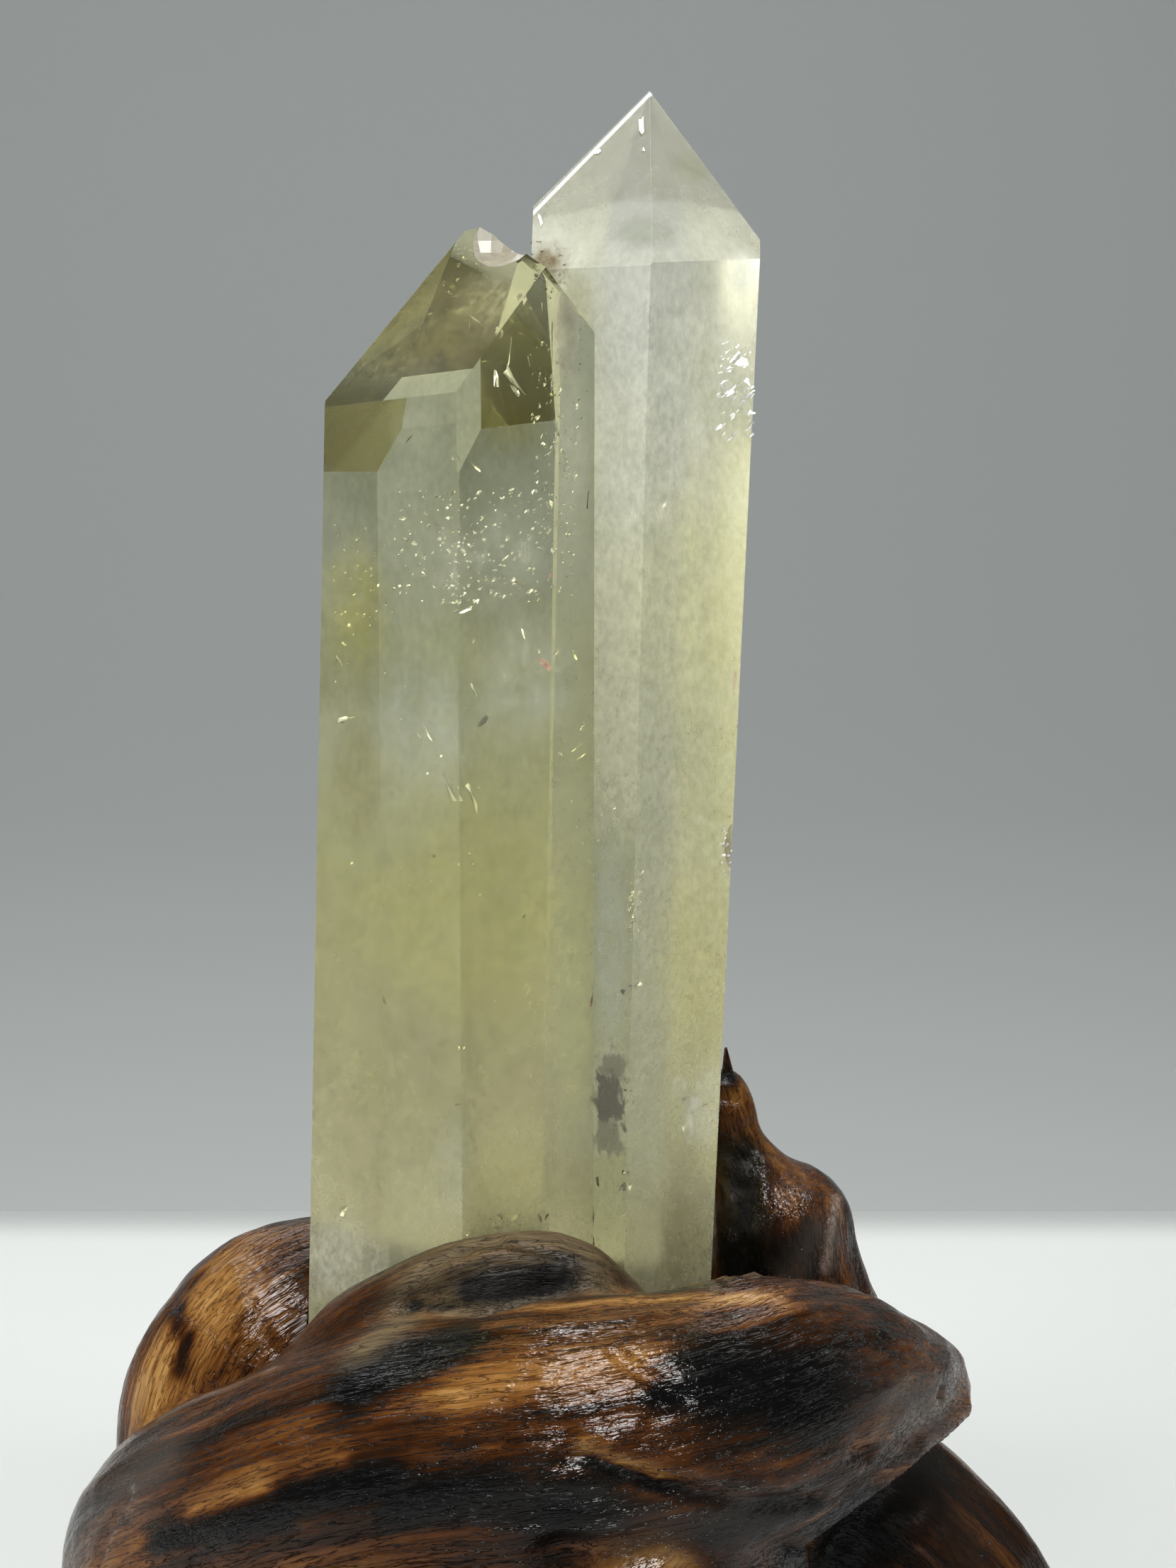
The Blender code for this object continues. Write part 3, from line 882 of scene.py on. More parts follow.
# Each smoky patch: a point of the picture, half size in mm, strength.
SMOKE_PATCHES = [
    ((862, 1518), (1.6, 4.0, 3.2), 0.7), ((861, 1552), (1.7, 4.0, 3.4), 0.9),
    ((859, 1592), (1.6, 4.0, 3.4), 0.65),
]
SMOKE_COLOUR, SMOKE_COVER = (0.07, 0.058, 0.042), 0.8
# The tip line is a painted highlight: milky white along the taller tip's left edge, where the edge catches
# the light.
TIP_HIGHLIGHT_LINE, TIP_HIGHLIGHT_WIDTH = ((765, 288), (909, 141)), 0.4
BROKEN_COLOUR, BROKEN_MILK = (0.44, 0.40, 0.29), 0.6
RIM_WEAR_AND_HIGHLIGHT_COLOUR, EDGE_MILK, RIM_WEAR_AND_HIGHLIGHT_MILK = (0.98, 0.98, 0.97), 0.18, 1.0
# Above RIM_FOOT the rounded edges turn white: partly rubbed wear, partly a painted highlight.
RIM_FOOT, RIM_FULL = 162.0, 172.0
LOWER_GRAIN, TALLER_GRAIN, TIP_CALM = 0.17, 0.16, 0.35


# %% Grain, masks and heights of the stone
DRIFT_SCALE, DRIFT_SHARE = 60.0, 0.35
FINE_GRAIN = {"Rotation": (0.0, 0.65, 0.3), "Scale": (1300.0, 1300.0, 800.0)}
COARSE_GRAIN, FINE_SHARE = 330.0, 0.6
PATCHY_SCALE, PATCHY_SPAN = 260.0, (0.32, 0.62, 0.35, 1.0)
# Each span: what the grain runs from and to, and what it is mapped to.
GRAIN_SHADE, GRAIN_FLECKS = (0.36, 0.64, -0.8, 0.4), (0.38, 0.62, 0.80, 1.22)


def new_group(name, outputs, inputs=()):
    """An empty node group. Each output and input is a name and a kind."""
    group = bpy.data.node_groups.new(name, "ShaderNodeTree")
    for direction, sockets in (("INPUT", inputs), ("OUTPUT", outputs)):
        for label, kind in sockets:
            group.interface.new_socket(label, in_out=direction, socket_type="NodeSocket" + kind)
    return group


def stone_facts(group):
    """What the look depends on: marks, place, height, level, grain, patchiness, smoke, the rim of worn edges
    and painted highlight, and calm.
    """
    at = {name: kept_mark(group, name) for name in ("taller", "broken", "edge", "window")}
    at["place"] = place = object_place(group)
    at["height"] = height = axes_of(place)["Z"]
    drift = minus(mottle(place, DRIFT_SCALE, detail=3.0), 0.5)
    share = spread(height, ZONE_LOW * MM, ZONE_HIGH * MM)
    at["level"] = times_plus(drift, DRIFT_SHARE, share)
    slanting = follow("ShaderNodeMapping", {"Vector": place, **FINE_GRAIN})["Vector"]
    coarse = times(mottle(place, COARSE_GRAIN, detail=3.0, roughness=0.6), 1.0 - FINE_SHARE)
    at["grain"] = times_plus(mottle(slanting, 1.0, detail=3.0, roughness=0.65), FINE_SHARE, coarse)
    at["patchy"] = spread(mottle(place, PATCHY_SCALE, detail=4.0, roughness=0.65), *PATCHY_SPAN)
    at["smoke"] = 0.0
    for spot, half_size, strength in SMOKE_PATCHES:
        part = box_mask(place, on_stone(*spot), half_size, ragged_by=at["grain"])
        at["smoke"] = combine("MAXIMUM", times(part, strength), at["smoke"])
    # Painted highlight along the tip's left edge, joined to the whiter worn edges high up.
    tip_highlight_line = line_mask(place, *[on_stone(*spot) for spot in TIP_HIGHLIGHT_LINE], TIP_HIGHLIGHT_WIDTH)
    high_edges = times(at["edge"], spread(height, RIM_FOOT * MM, RIM_FULL * MM))
    at["rim_wear_and_highlight"] = combine("MAXIMUM", high_edges, tip_highlight_line)
    at["calm"] = spread(height, RIM_FOOT * MM, RIM_FULL * MM, 1.0, TIP_CALM)
    return at


def near_spot(at, spot, half_size):
    """How near a place is to a patch round a point of the picture, broken up by noise."""
    return times(blob(at["place"], on_stone(*spot), half_size), at["patchy"])


# %% The look of the stone as a node group
def stone_colour(at):
    """Zones by height, then clouds, smoke, the chips, the rim of worn edges and painted highlight, and darker
    grains over all.
    """
    zones = [colour_scale(at["level"], stops) for stops in (LOWER_ZONES, TALLER_ZONES)]
    colour = tint(at["taller"], *zones)
    for spot, half_size, cloud, strength in CLOUDS:
        near = near_spot(at, spot, half_size)
        colour = tint(times(near, strength), colour, cloud)
    for mask, paint in (("smoke", SMOKE_COLOUR), ("broken", BROKEN_COLOUR), ("rim_wear_and_highlight", RIM_WEAR_AND_HIGHLIGHT_COLOUR)):
        colour = tint(at[mask], colour, paint)
    depth = times(blend(at["taller"], LOWER_GRAIN, TALLER_GRAIN), at["calm"])
    shade = times_plus(spread(at["grain"], *GRAIN_SHADE), depth, 1.0)
    grey = follow("ShaderNodeCombineXYZ", {0: shade, 1: shade, 2: shade})[0]
    return tint(1.0, colour, grey, blend="MULTIPLY")


def stone_milk(at):
    """How milky the skin is, and how far it keeps clear of the window."""
    levels = [[(share, (milk, milk, milk)) for share, milk in stops] for stops in (LOWER_MILK, TALLER_MILK)]
    milk = blend(at["taller"], *[colour_scale(at["level"], stops) for stops in levels])
    for spot, half_size, strength in MILK_PATCHES:
        milk = blend(near_spot(at, spot, half_size), milk, strength)
    ragged = times_plus(minus(at["grain"], 0.5), WINDOW_RAGGED * MM, at["height"])
    window = spread(ragged, WINDOW_FADE * MM, WINDOW_TOP * MM, smooth=True)
    covered = minus(1.0, times(at["window"], window))
    milk = times(milk, covered)
    covers = (("edge", EDGE_MILK), ("rim_wear_and_highlight", RIM_WEAR_AND_HIGHLIGHT_MILK), ("broken", BROKEN_MILK), ("smoke", SMOKE_COVER))
    for mask, strength in covers:
        milk = blend(at[mask], milk, strength)
    flecks = blend(at["calm"], 1.0, spread(at["grain"], *GRAIN_FLECKS))
    return times(milk, flecks, clamp=True), covered


def make_stone_look():
    """Colour, milkiness and relief anywhere on the stone."""
    group = new_group("stone_look", [("Colour", "Color"), ("Milk", "Float"), ("Relief", "Float")])
    at = stone_facts(group)
    colour = stone_colour(at)
    milk, covered = stone_milk(at)
    rough = combine("MAXIMUM", times(at["taller"], covered), at["broken"])
    relief = times(at["grain"], times(rough, at["calm"]))
    put(group, "NodeGroupOutput", {"Colour": colour, "Milk": milk, "Relief": relief})
    return group


stone_look = make_stone_look()
print("Look of the stone:", len(stone_look.nodes), "nodes")

# %% [markdown]
# ## Two finishes of the stone
# Clear quartz is plain glass to a renderer: it bends light by its index of refraction and takes a
# little blue out of it along the way. All its faces have to share one material, because a ray that
# enters by one and leaves by another would carry the first one's absorption out into the room.
# The milkiness is in the outermost skin of the stone, where fine frosting catches the light. So it is a
# second closed piece, a hair's breadth outside the first: a thin white coat whose cover is uneven, and
# which shows only on the side that is looked at.

# %% Clear stone
QUARTZ_IOR = 1.544
HAZE = 0.04
FROST_SPAN = (0.05, 0.35, 0.0, 0.30)
RELIEF = 0.04
ABSORPTION, ABSORPTION_DENSITY = (0.94, 0.91, 0.42, 1.0), 13.0


def quartz_material(name):
    """A material with the stone's colour, relief and index of refraction, and how milky it is."""
    material, tree, shader = new_material(name)
    look = put(tree, "ShaderNodeGroup", node_tree=stone_look).outputs
    relief = raised(look["Relief"], RELIEF)
    feed(shader, {"Base Color": look["Colour"], "Normal": relief, "IOR": QUARTZ_IOR})
    return material, tree, shader, look["Milk"]


citrine, tree, shader, milk = quartz_material("citrine_quartz")
feed(shader, {"Roughness": spread(milk, *FROST_SPAN), "Transmission Weight": 1.0 - HAZE})
absorb = put(tree, "ShaderNodeVolumeAbsorption", {"Color": ABSORPTION, "Density": ABSORPTION_DENSITY})
feed(tree.nodes["Material Output"], {"Volume": absorb.outputs["Volume"]})
dress(crystal, citrine)

# %% Milky skin
SKIN_GROWTH = 0.03
SKIN_ROUGHNESS, CHIP_ROUGHNESS = 0.28, 0.8
milky_skin = ground_stone("milky_skin", SKIN_GROWTH)
round_edges(milky_skin)
mark_faces(milky_skin)
frosted, tree, shader, milk = quartz_material("milky_quartz")
towards = minus(1.0, put(tree, "ShaderNodeNewGeometry").outputs["Backfacing"])
rough = spread(kept_mark(tree, "broken"), 0.0, 1.0, SKIN_ROUGHNESS, CHIP_ROUGHNESS)
feed(shader, {"Alpha": times(milk, towards), "Roughness": rough})
dress(milky_skin, frosted)

# %% [markdown]
# ## Colour of the root
# Lacquered rosewood-like root: dark red-brown heart wood with slate-black and golden streaks that
# follow the fibres. The streaks are noise stretched along each arm. Where the real root has a black
# or a golden patch, a soft mask is painted on the surface, and the streaks break up its edge. Some black
# strokes are painted shade instead: under the lip, in the crease, in a hollow and under the band. The
# smooth grey strokes are partly, and the pale strokes wholly, a painted sheen.

# %% Fibre coordinates as attributes
def whole_numbers(items, field):
    """One whole number of each face or corner of a mesh."""
    numbers = np.empty(len(items), np.int32)
    items.foreach_get(field, numbers)
    return numbers


points = values_of(wood) / MM
depths, places = fibre_places(points)
corner_points = whole_numbers(wood.data.loops, "vertex_index")
starts, sizes = (whole_numbers(wood.data.polygons, field) for field in ("loop_start", "loop_total"))
corner_depths = depths[:, corner_points]
face_order = np.argsort(np.add.reduceat(corner_depths, starts, axis=1) / sizes, axis=0)[:3]
corner_order = np.repeat(face_order, sizes, axis=1)
for name, rank in (("fibre_a", 0), ("fibre_b", 1)):
    chosen = places[corner_order[rank], corner_points].astype(np.float32)
    keep(wood, name, chosen.ravel(), "FLOAT_VECTOR", "CORNER", "vector")
shares = second_share(corner_depths, corner_order).clip(0.0, 1.0).astype(np.float32)
keep(wood, "fibre_share", shares, domain="CORNER")
print("Corners with a place on the fibres:", len(corner_points))

# %% Painted patches
# Each patch: points of the picture, half width in mm, and strength.
PATCHES = {
    "black_and_shade": [
        ([(500, 1960), (560, 1925), (640, 1895)], 3.2, 1.0),
        ([(403, 2105), (470, 2095), (545, 2092)], 2.6, 1.0),
        ([(225, 2170), (300, 2150), (395, 2130)], 2.2, 0.9),
        ([(1030, 1480), (1031, 1520)], 1.2, 1.0),
        # Painted shadow under the lip, where it overhangs the band.
        ([(585, 1846), (640, 1843), (700, 1838)], 0.8, 1.0),
        ([(930, 1968), (1030, 1962)], 1.6, 0.9),
        ([(1010, 1950), (1080, 1960), (1160, 1975)], 5.0, 1.0),
        ([(250, 1850), (262, 1890), (255, 1930)], 1.6, 0.9),
        # Painted shadow under the lip.
        ([(668, 1828), (745, 1815), (792, 1798)], 2.3, 1.0),
        ([(1100, 1770), (1150, 1740)], 2.0, 0.35),
        # Painted shade in the hollow at the front of the band.
        ([(780, 2130), (830, 2130)], 4.0, 1.0),
        # Painted shade under the band, towards the right foot.
        ([(1120, 2200), (1200, 2130), (1270, 2110)], 4.0, 0.8),
        ([(1045, 1640), (1045, 1720), (1040, 1790)], 3.0, 0.9),
        # Painted shade under the band, beside the right foot.
        ([(1190, 2190), (1240, 2120), (1290, 2080)], 5.0, 0.8),
        ([(560, 2120), (700, 2110), (800, 2150)], 3.0, 0.8),
        # Painted shade in the narrow crease under the band, which the mesh is too coarse to cast.
        ([(830, 2062), (940, 2098), (1080, 2122), (1149, 2122)], 0.8, 1.0),
    ],
    "gold": [
        ([(600, 1850), (800, 1842), (1000, 1830), (1100, 1835)], 1.6, 0.8),
        ([(650, 1960), (760, 1930), (900, 1920)], 3.5, 0.6),
        ([(215, 1960), (260, 1900), (330, 1830)], 7.0, 0.9),
        ([(1040, 1545), (1060, 1590)], 2.6, 0.28),
        ([(1085, 1630), (1130, 1655), (1165, 1690)], 3.0, 0.26),
        ([(1105, 1700), (1135, 1710)], 2.6, 0.22),
        ([(300, 1780), (350, 1740), (385, 1725)], 3.0, 0.8),
        ([(270, 2135), (370, 2095), (480, 2060)], 1.5, 0.55),
        ([(824, 2040), (870, 2060), (928, 2080)], 1.2, 0.9),
        ([(850, 2190), (900, 2185), (955, 2195)], 3.0, 0.9),
    ],
    # Smooth, dark grey lacquer; its grey also stands in for the sheen these parts reflect.
    "smooth_grey_and_sheen": [
        ([(1230, 1960), (1290, 1990), (1330, 1990)], 5.0, 1.0),
        ([(900, 2160), (1000, 2160), (1100, 2150)], 5.0, 1.0),
        ([(90, 2180), (130, 2120), (190, 2060)], 4.0, 0.9),
        ([(1290, 2070), (1335, 2130), (1370, 2200)], 5.0, 1.0),
    ],
    # Painted sheen: pale lines and patches where the lacquer catches the light, on the prong's ridge and the
    # left of the band.
    "painted_sheen": [
        ([(1181, 1690), (1172, 1740), (1164, 1791)], 0.6, 0.8),
        ([(1110, 1795), (1140, 1765), (1160, 1730)], 2.4, 0.16),
        ([(223, 2003), (300, 1965), (386, 1930)], 0.6, 0.5),
        ([(130, 2190), (175, 2120), (230, 2065)], 4.0, 0.2),
    ],
    "dry_and_shade": [
        ([(520, 1900), (590, 1810), (650, 1762), (735, 1742), (820, 1762), (845, 1800)], 3.2, 1.0),
        ([(640, 1790), (720, 1775), (790, 1785)], 1.4, 0.8),
        # Matt and dark under the lip, with the black strokes there: painted shadow.
        ([(640, 1836), (720, 1826), (800, 1804)], 3.0, 1.0),
        ([(1040, 1640), (1045, 1720), (1045, 1800)], 2.6, 0.8),
    ],
}
find = surface_finder(wood)
for name, strokes in PATCHES.items():
    mask = np.zeros(len(points))
    for stroke, half_width, strength in strokes:
        mask = np.maximum(mask, strength * near_stroke(points, stroke, half_width, find))
    keep(wood, name, mask.astype(np.float32))


# %% Streaks as a node group
# Each noise: how tightly it repeats across and along the fibres, then detail, roughness and distortion.
STREAK_NOISES = {
    "broad": (0.16, 0.018, 3.0, 0.55, 0.4),
    "medium": (0.75, 0.055, 4.0, 0.6, 0.5),
    "fine": (3.2, 0.5, 2.0, 0.6, 0.0),
    "dashes": (1.5, 0.6, 3.0, 0.6, 0.0),
    "wander": (1.5, 0.17, 3.0, 0.6, 0.4),
}
BROAD_SHARE, FINE_FIBRES, CRACK_WIDTH = 0.55, 0.3, 0.03
STREAK_OUTPUTS = ("Streaks", "Fibres", "Cracks")


def make_streaks():
    """Streaks, fine fibres and cracks that run along the third coordinate, given in mm."""
    group = new_group("fibre_streaks", [(name, "Float") for name in STREAK_OUTPUTS], [("Place", "Vector")])
    place = put(group, "NodeGroupInput").outputs["Place"]
    layer = {}
    for name, (across, along, *grain) in STREAK_NOISES.items():
        layer[name] = mottle(stretched(place, (across, across, along)), 1.0, *grain)
    off_line = combine("ABSOLUTE", minus(layer["wander"], 0.5))
    cracks = spread(off_line, 0.0, CRACK_WIDTH, 1.0, 0.0)
    streaks = times_plus(layer["broad"], BROAD_SHARE, times(layer["medium"], 1.0 - BROAD_SHARE))
    fibres = times_plus(layer["fine"], FINE_FIBRES, times(layer["dashes"], 1.0 - FINE_FIBRES))
    put(group, "NodeGroupOutput", dict(zip(STREAK_OUTPUTS, (streaks, fibres, cracks))))
    return group


# %% Lacquered wood
WOOD_COLOURS = [
    (0.0, (0.003, 0.003, 0.003)), (0.25, (0.008, 0.005, 0.003)), (0.42, (0.032, 0.011, 0.003)),
    (0.55, (0.080, 0.026, 0.006)), (0.70, (0.17, 0.068, 0.015)), (0.85, (0.29, 0.135, 0.034)),
    (1.0, (0.43, 0.235, 0.075)),
]
# Dry, matt wood; the darkest colour is also the painted shadow under the lip.
DRY_AND_SHADE_COLOURS = [
    (0.0, (0.004, 0.003, 0.002)), (0.40, (0.10, 0.070, 0.034)), (0.7, (0.21, 0.155, 0.075)),
    (1.0, (0.35, 0.27, 0.15)),
]
# Tone picks a colour of the wood: 0 is black and 1 is golden. Each weight is what a mask adds to it.
STREAK_TONE, FIBRE_TONE = (0.30, 0.70, 0.12, 0.86), 0.30
GOLD_TONE, BLACK_AND_SHADE_TONE, CRACK_TONE = 0.48, -0.62, -0.22
SMOOTH_GREY_SHEEN_COLOUR, SMOOTH_GREY_SHEEN_COVER, PAINTED_SHEEN_COLOUR = (0.020, 0.017, 0.015), 0.75, (0.30, 0.24, 0.20)
LACQUER_ROUGHNESS, DRY_ROUGHNESS, LACQUER_SPECULAR = (0.35, 0.65, 0.07, 0.17), 0.6, 0.18
CRACK_DEPTH, SATIN_RELIEF, WOOD_RELIEF = -0.35, 0.35, 0.34
SMOOTH_ANGLE = 50

streak_group = make_streaks()
root_wood, tree, shader = new_material("root_wood")
pattern = [
    put(tree, "ShaderNodeGroup", {"Place": kept_mark(tree, name, "Vector")}, node_tree=streak_group).outputs
    for name in ("fibre_a", "fibre_b")
]
fade = kept_mark(tree, "fibre_share")
mixed = {name: blend(fade, pattern[0][name], pattern[1][name]) for name in STREAK_OUTPUTS}
masks = {name: kept_mark(tree, name) for name in PATCHES}
tone = spread(mixed["Streaks"], *STREAK_TONE)
tone = times_plus(minus(mixed["Fibres"], 0.5), FIBRE_TONE, tone)
tone = times_plus(masks["gold"], GOLD_TONE, tone)
# Black wood, and painted shade under the lip, in the crease, in a hollow and under the band.
tone = times_plus(masks["black_and_shade"], BLACK_AND_SHADE_TONE, tone)
tone = times_plus(mixed["Cracks"], CRACK_TONE, tone, clamp=True)
colour = colour_scale(tone, WOOD_COLOURS)
# Dark grey where the lacquer is smooth, and partly a painted grey sheen.
colour = tint(times(masks["smooth_grey_and_sheen"], SMOOTH_GREY_SHEEN_COVER), colour, SMOOTH_GREY_SHEEN_COLOUR)
# Painted sheen on the ridge and edges that catch the light.
colour = tint(masks["painted_sheen"], colour, PAINTED_SHEEN_COLOUR)
# Dry, matt wood, and the painted shadow under the lip.
colour = tint(masks["dry_and_shade"], colour, colour_scale(tone, DRY_AND_SHADE_COLOURS))
rough = spread(mixed["Fibres"], *LACQUER_ROUGHNESS)
rough = times_plus(masks["dry_and_shade"], DRY_ROUGHNESS, rough, clamp=True)
height = times_plus(mixed["Cracks"], CRACK_DEPTH, mixed["Fibres"])
height = times(height, spread(masks["smooth_grey_and_sheen"], 0.0, 1.0, 1.0, SATIN_RELIEF))
relief = raised(height, WOOD_RELIEF)
feed(shader, {"Base Color": colour, "Roughness": rough, "Normal": relief})
shader.inputs["Specular IOR Level"].default_value = LACQUER_SPECULAR
dress(wood, root_wood)
only(wood)
bpy.ops.object.shade_smooth_by_angle(angle=math.radians(SMOOTH_ANGLE))

# %% [markdown]
# ## What is inside the stone
# A natural quartz holds healed cracks that flash like tinsel, dark specks, rosy spots, and rust in the
# groove between the points. They could be painted, but a flash moves as the stone is turned. So they
# are thin closed flakes, set inside the stone along the bent ray of each picture point, and tilted a
# little to the left of the camera, where the room is bright. White chips on the outer edges, and painted
# glints at the taller tip, are the same flakes in white, laid on the skin and turned up to the light.
# One flake is modelled by hand, and each copy is crumpled a little differently.


# %% Places inside the stone
def inside_stone(px, py, depth):
    """The point, in mm, at a depth along the ray that the surface bends inwards, or None beside the stone."""
    ray = ray_through(px, py)
    hit, normal = stone_tree.ray_cast(CAMERA_PLACE, ray)[:2]
    if hit is None:
        return None
    facing = -ray.dot(normal)
    ratio = 1.0 / QUARTZ_IOR
    bent = ray * ratio + normal * (ratio * facing - math.sqrt(1.0 - ratio ** 2 * (1.0 - facing ** 2)))
    return (hit + bent * depth * MM) / MM


# %% One flake
FLAKE_CORNERS = 7
bpy.ops.object.select_all(action="DESELECT")
bpy.ops.mesh.primitive_circle_add(
    vertices=FLAKE_CORNERS, radius=0.5, fill_type="TRIFAN", location=(0.0, 0.0, -0.5)
)
flake_model = in_place(bpy.context.object)
bpy.ops.object.mode_set(mode="EDIT")
bpy.ops.mesh.select_all(action="SELECT")
bpy.ops.mesh.extrude_region_move(TRANSFORM_OT_translate={"value": (0.0, 0.0, 1.0)})
bpy.ops.mesh.select_all(action="SELECT")
bpy.ops.mesh.normals_make_consistent(inside=False)
bpy.ops.mesh.quads_convert_to_tris()
bpy.ops.object.mode_set(mode="OBJECT")
flake_points = values_of(flake_model)
flake_faces = np.array([face.vertices[:] for face in flake_model.data.polygons])
turns = np.arctan2(flake_points[:, 1], flake_points[:, 0]) / math.tau
flake_spokes = np.round((turns + 1.0) * FLAKE_CORNERS).astype(int) % FLAKE_CORNERS
# The middle of each side stays where it is; only the rim is crumpled.
flake_rim = np.linalg.norm(flake_points[:, :2], axis=1) > 0.1
bpy.data.objects.remove(flake_model)
print("One flake:", len(flake_faces), "triangles")

# %% Clouds of flakes
FLAKE_SEED = 11
dice = np.random.default_rng(FLAKE_SEED)
SHORTEST_SPOKE, LONGEST_SPOKE = 0.3, 1.25
CRUMPLE = 0.8


def flake_cloud(name, flakes, speck):
    """One mesh of flakes, each with its middle, long axis, facing, and length, width and thickness in mm."""
    corners, faces = [], []
    for middle, along, facing, size in flakes:
        facing = Vector(facing).normalized()
        along = (Vector(along) - facing * Vector(along).dot(facing)).normalized()
        axes = np.array([along, facing.cross(along), facing])
        spokes = dice.uniform(SHORTEST_SPOKE, LONGEST_SPOKE, FLAKE_CORNERS)[flake_spokes]
        lifts = CRUMPLE * dice.standard_normal(FLAKE_CORNERS)[flake_spokes]
        ragged = flake_points * np.stack([spokes, spokes, np.ones(len(spokes))], axis=1)
        ragged[:, 2] += np.where(flake_rim, lifts, 0.0)
        faces.append(flake_faces + len(flake_points) * len(corners))
        corners.append((np.array(middle) + (ragged * size) @ axes) * MM)
    mesh = bpy.data.meshes.new(name)
    mesh.from_pydata(np.concatenate(corners).tolist(), [], np.concatenate(faces).tolist())
    piece = bpy.data.objects.new(name, mesh)
    bpy.context.scene.collection.objects.link(piece)
    mesh.materials.append(speck_materials[speck])
    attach(piece, "root")
    print(name, len(flakes), "flakes")
    return piece


# %% Drawn and strewn flakes
MIRROR_TILT = Vector((-0.32, -0.93, 0.14))
TILT_SPREAD = 0.16
FLAKE_THICKNESS = 0.05
LEAN, LEAN_SPREAD, WIDTH_SHARES = 0.5, 0.5, (0.3, 0.7)


def facing_light():
    """A facing that mirrors the bright left of the room, give or take."""
    return MIRROR_TILT + Vector(dice.normal(0.0, TILT_SPREAD, 3))


def drawn_flake(x0, y0, x1, y1, width, depth=1.5):
    """A flake that runs between two points of the picture."""
    start, end = inside_stone(x0, y0, depth), inside_stone(x1, y1, depth)
    if start is None or end is None:
        return []
    along = end - start
    return [((start + end) / 2, along, facing_light(), (along.length, width, FLAKE_THICKNESS))]


def strewn_flakes(x0, y0, x1, y1, count, sizes, depths, lean=LEAN):
    """Flakes at random places in a box of the picture, with their long axes leaning up to the right."""
    flakes = []
    for _ in range(count):
        middle = inside_stone(dice.uniform(x0, x1), dice.uniform(y0, y1), dice.uniform(*depths))
        length = sizes[0] * (sizes[1] / sizes[0]) ** dice.random()
        along = Vector((1.0, 0.0, dice.normal(lean, LEAN_SPREAD)))
        if middle is not None:
            facing = facing_light()
            size = (length, length * dice.uniform(*WIDTH_SHARES), FLAKE_THICKNESS)
            flakes.append((middle, along, facing, size))
    return flakes


def drawn(lines, **depth):
    """A flake for each line: two points of the picture and a width in mm."""
    return [flake for line in lines for flake in drawn_flake(*line, **depth)]


def strewn(lots):
    """The flakes of each lot: box in the picture, how many, lengths and depths in mm, and lean."""
    return [flake for lot in lots for flake in strewn_flakes(*lot)]


# %% Materials of the inclusions
SPECK_SCALE, SPECK_SPAN = 700.0, (0.3, 0.7)
# Each speck: the tones its colour wanders between, how metallic it is, and its roughness.
SPECKS = {
    "tinsel": ([(0.95, 0.93, 0.80), (0.98, 0.98, 0.95), (0.93, 0.90, 0.72)], 0.85, 0.18),
    "rust": ([(0.12, 0.07, 0.03), (0.26, 0.19, 0.12), (0.06, 0.045, 0.025)], 0.0, 0.7),
    "rosy_spot": ([(0.55, 0.12, 0.10), (0.80, 0.45, 0.38), (0.35, 0.10, 0.08)], 0.0, 0.4),
    "dark_speck": ([(0.05, 0.05, 0.03), (0.14, 0.13, 0.07), (0.03, 0.03, 0.02)], 0.0, 0.5),
    "white_chip_and_glint": ([(0.97, 0.97, 0.95), (0.90, 0.90, 0.84)], 0.0, 0.3),
}
speck_materials = {}
for name, (colours, metallic, roughness) in SPECKS.items():
    speck_materials[name], tree, shader = new_material(name, roughness)
    drift = spread(mottle(object_place(tree), SPECK_SCALE), *SPECK_SPAN)
    stops = [(number / (len(colours) - 1), colour) for number, colour in enumerate(colours)]
    feed(shader, {"Base Color": colour_scale(drift, stops), "Metallic": metallic})

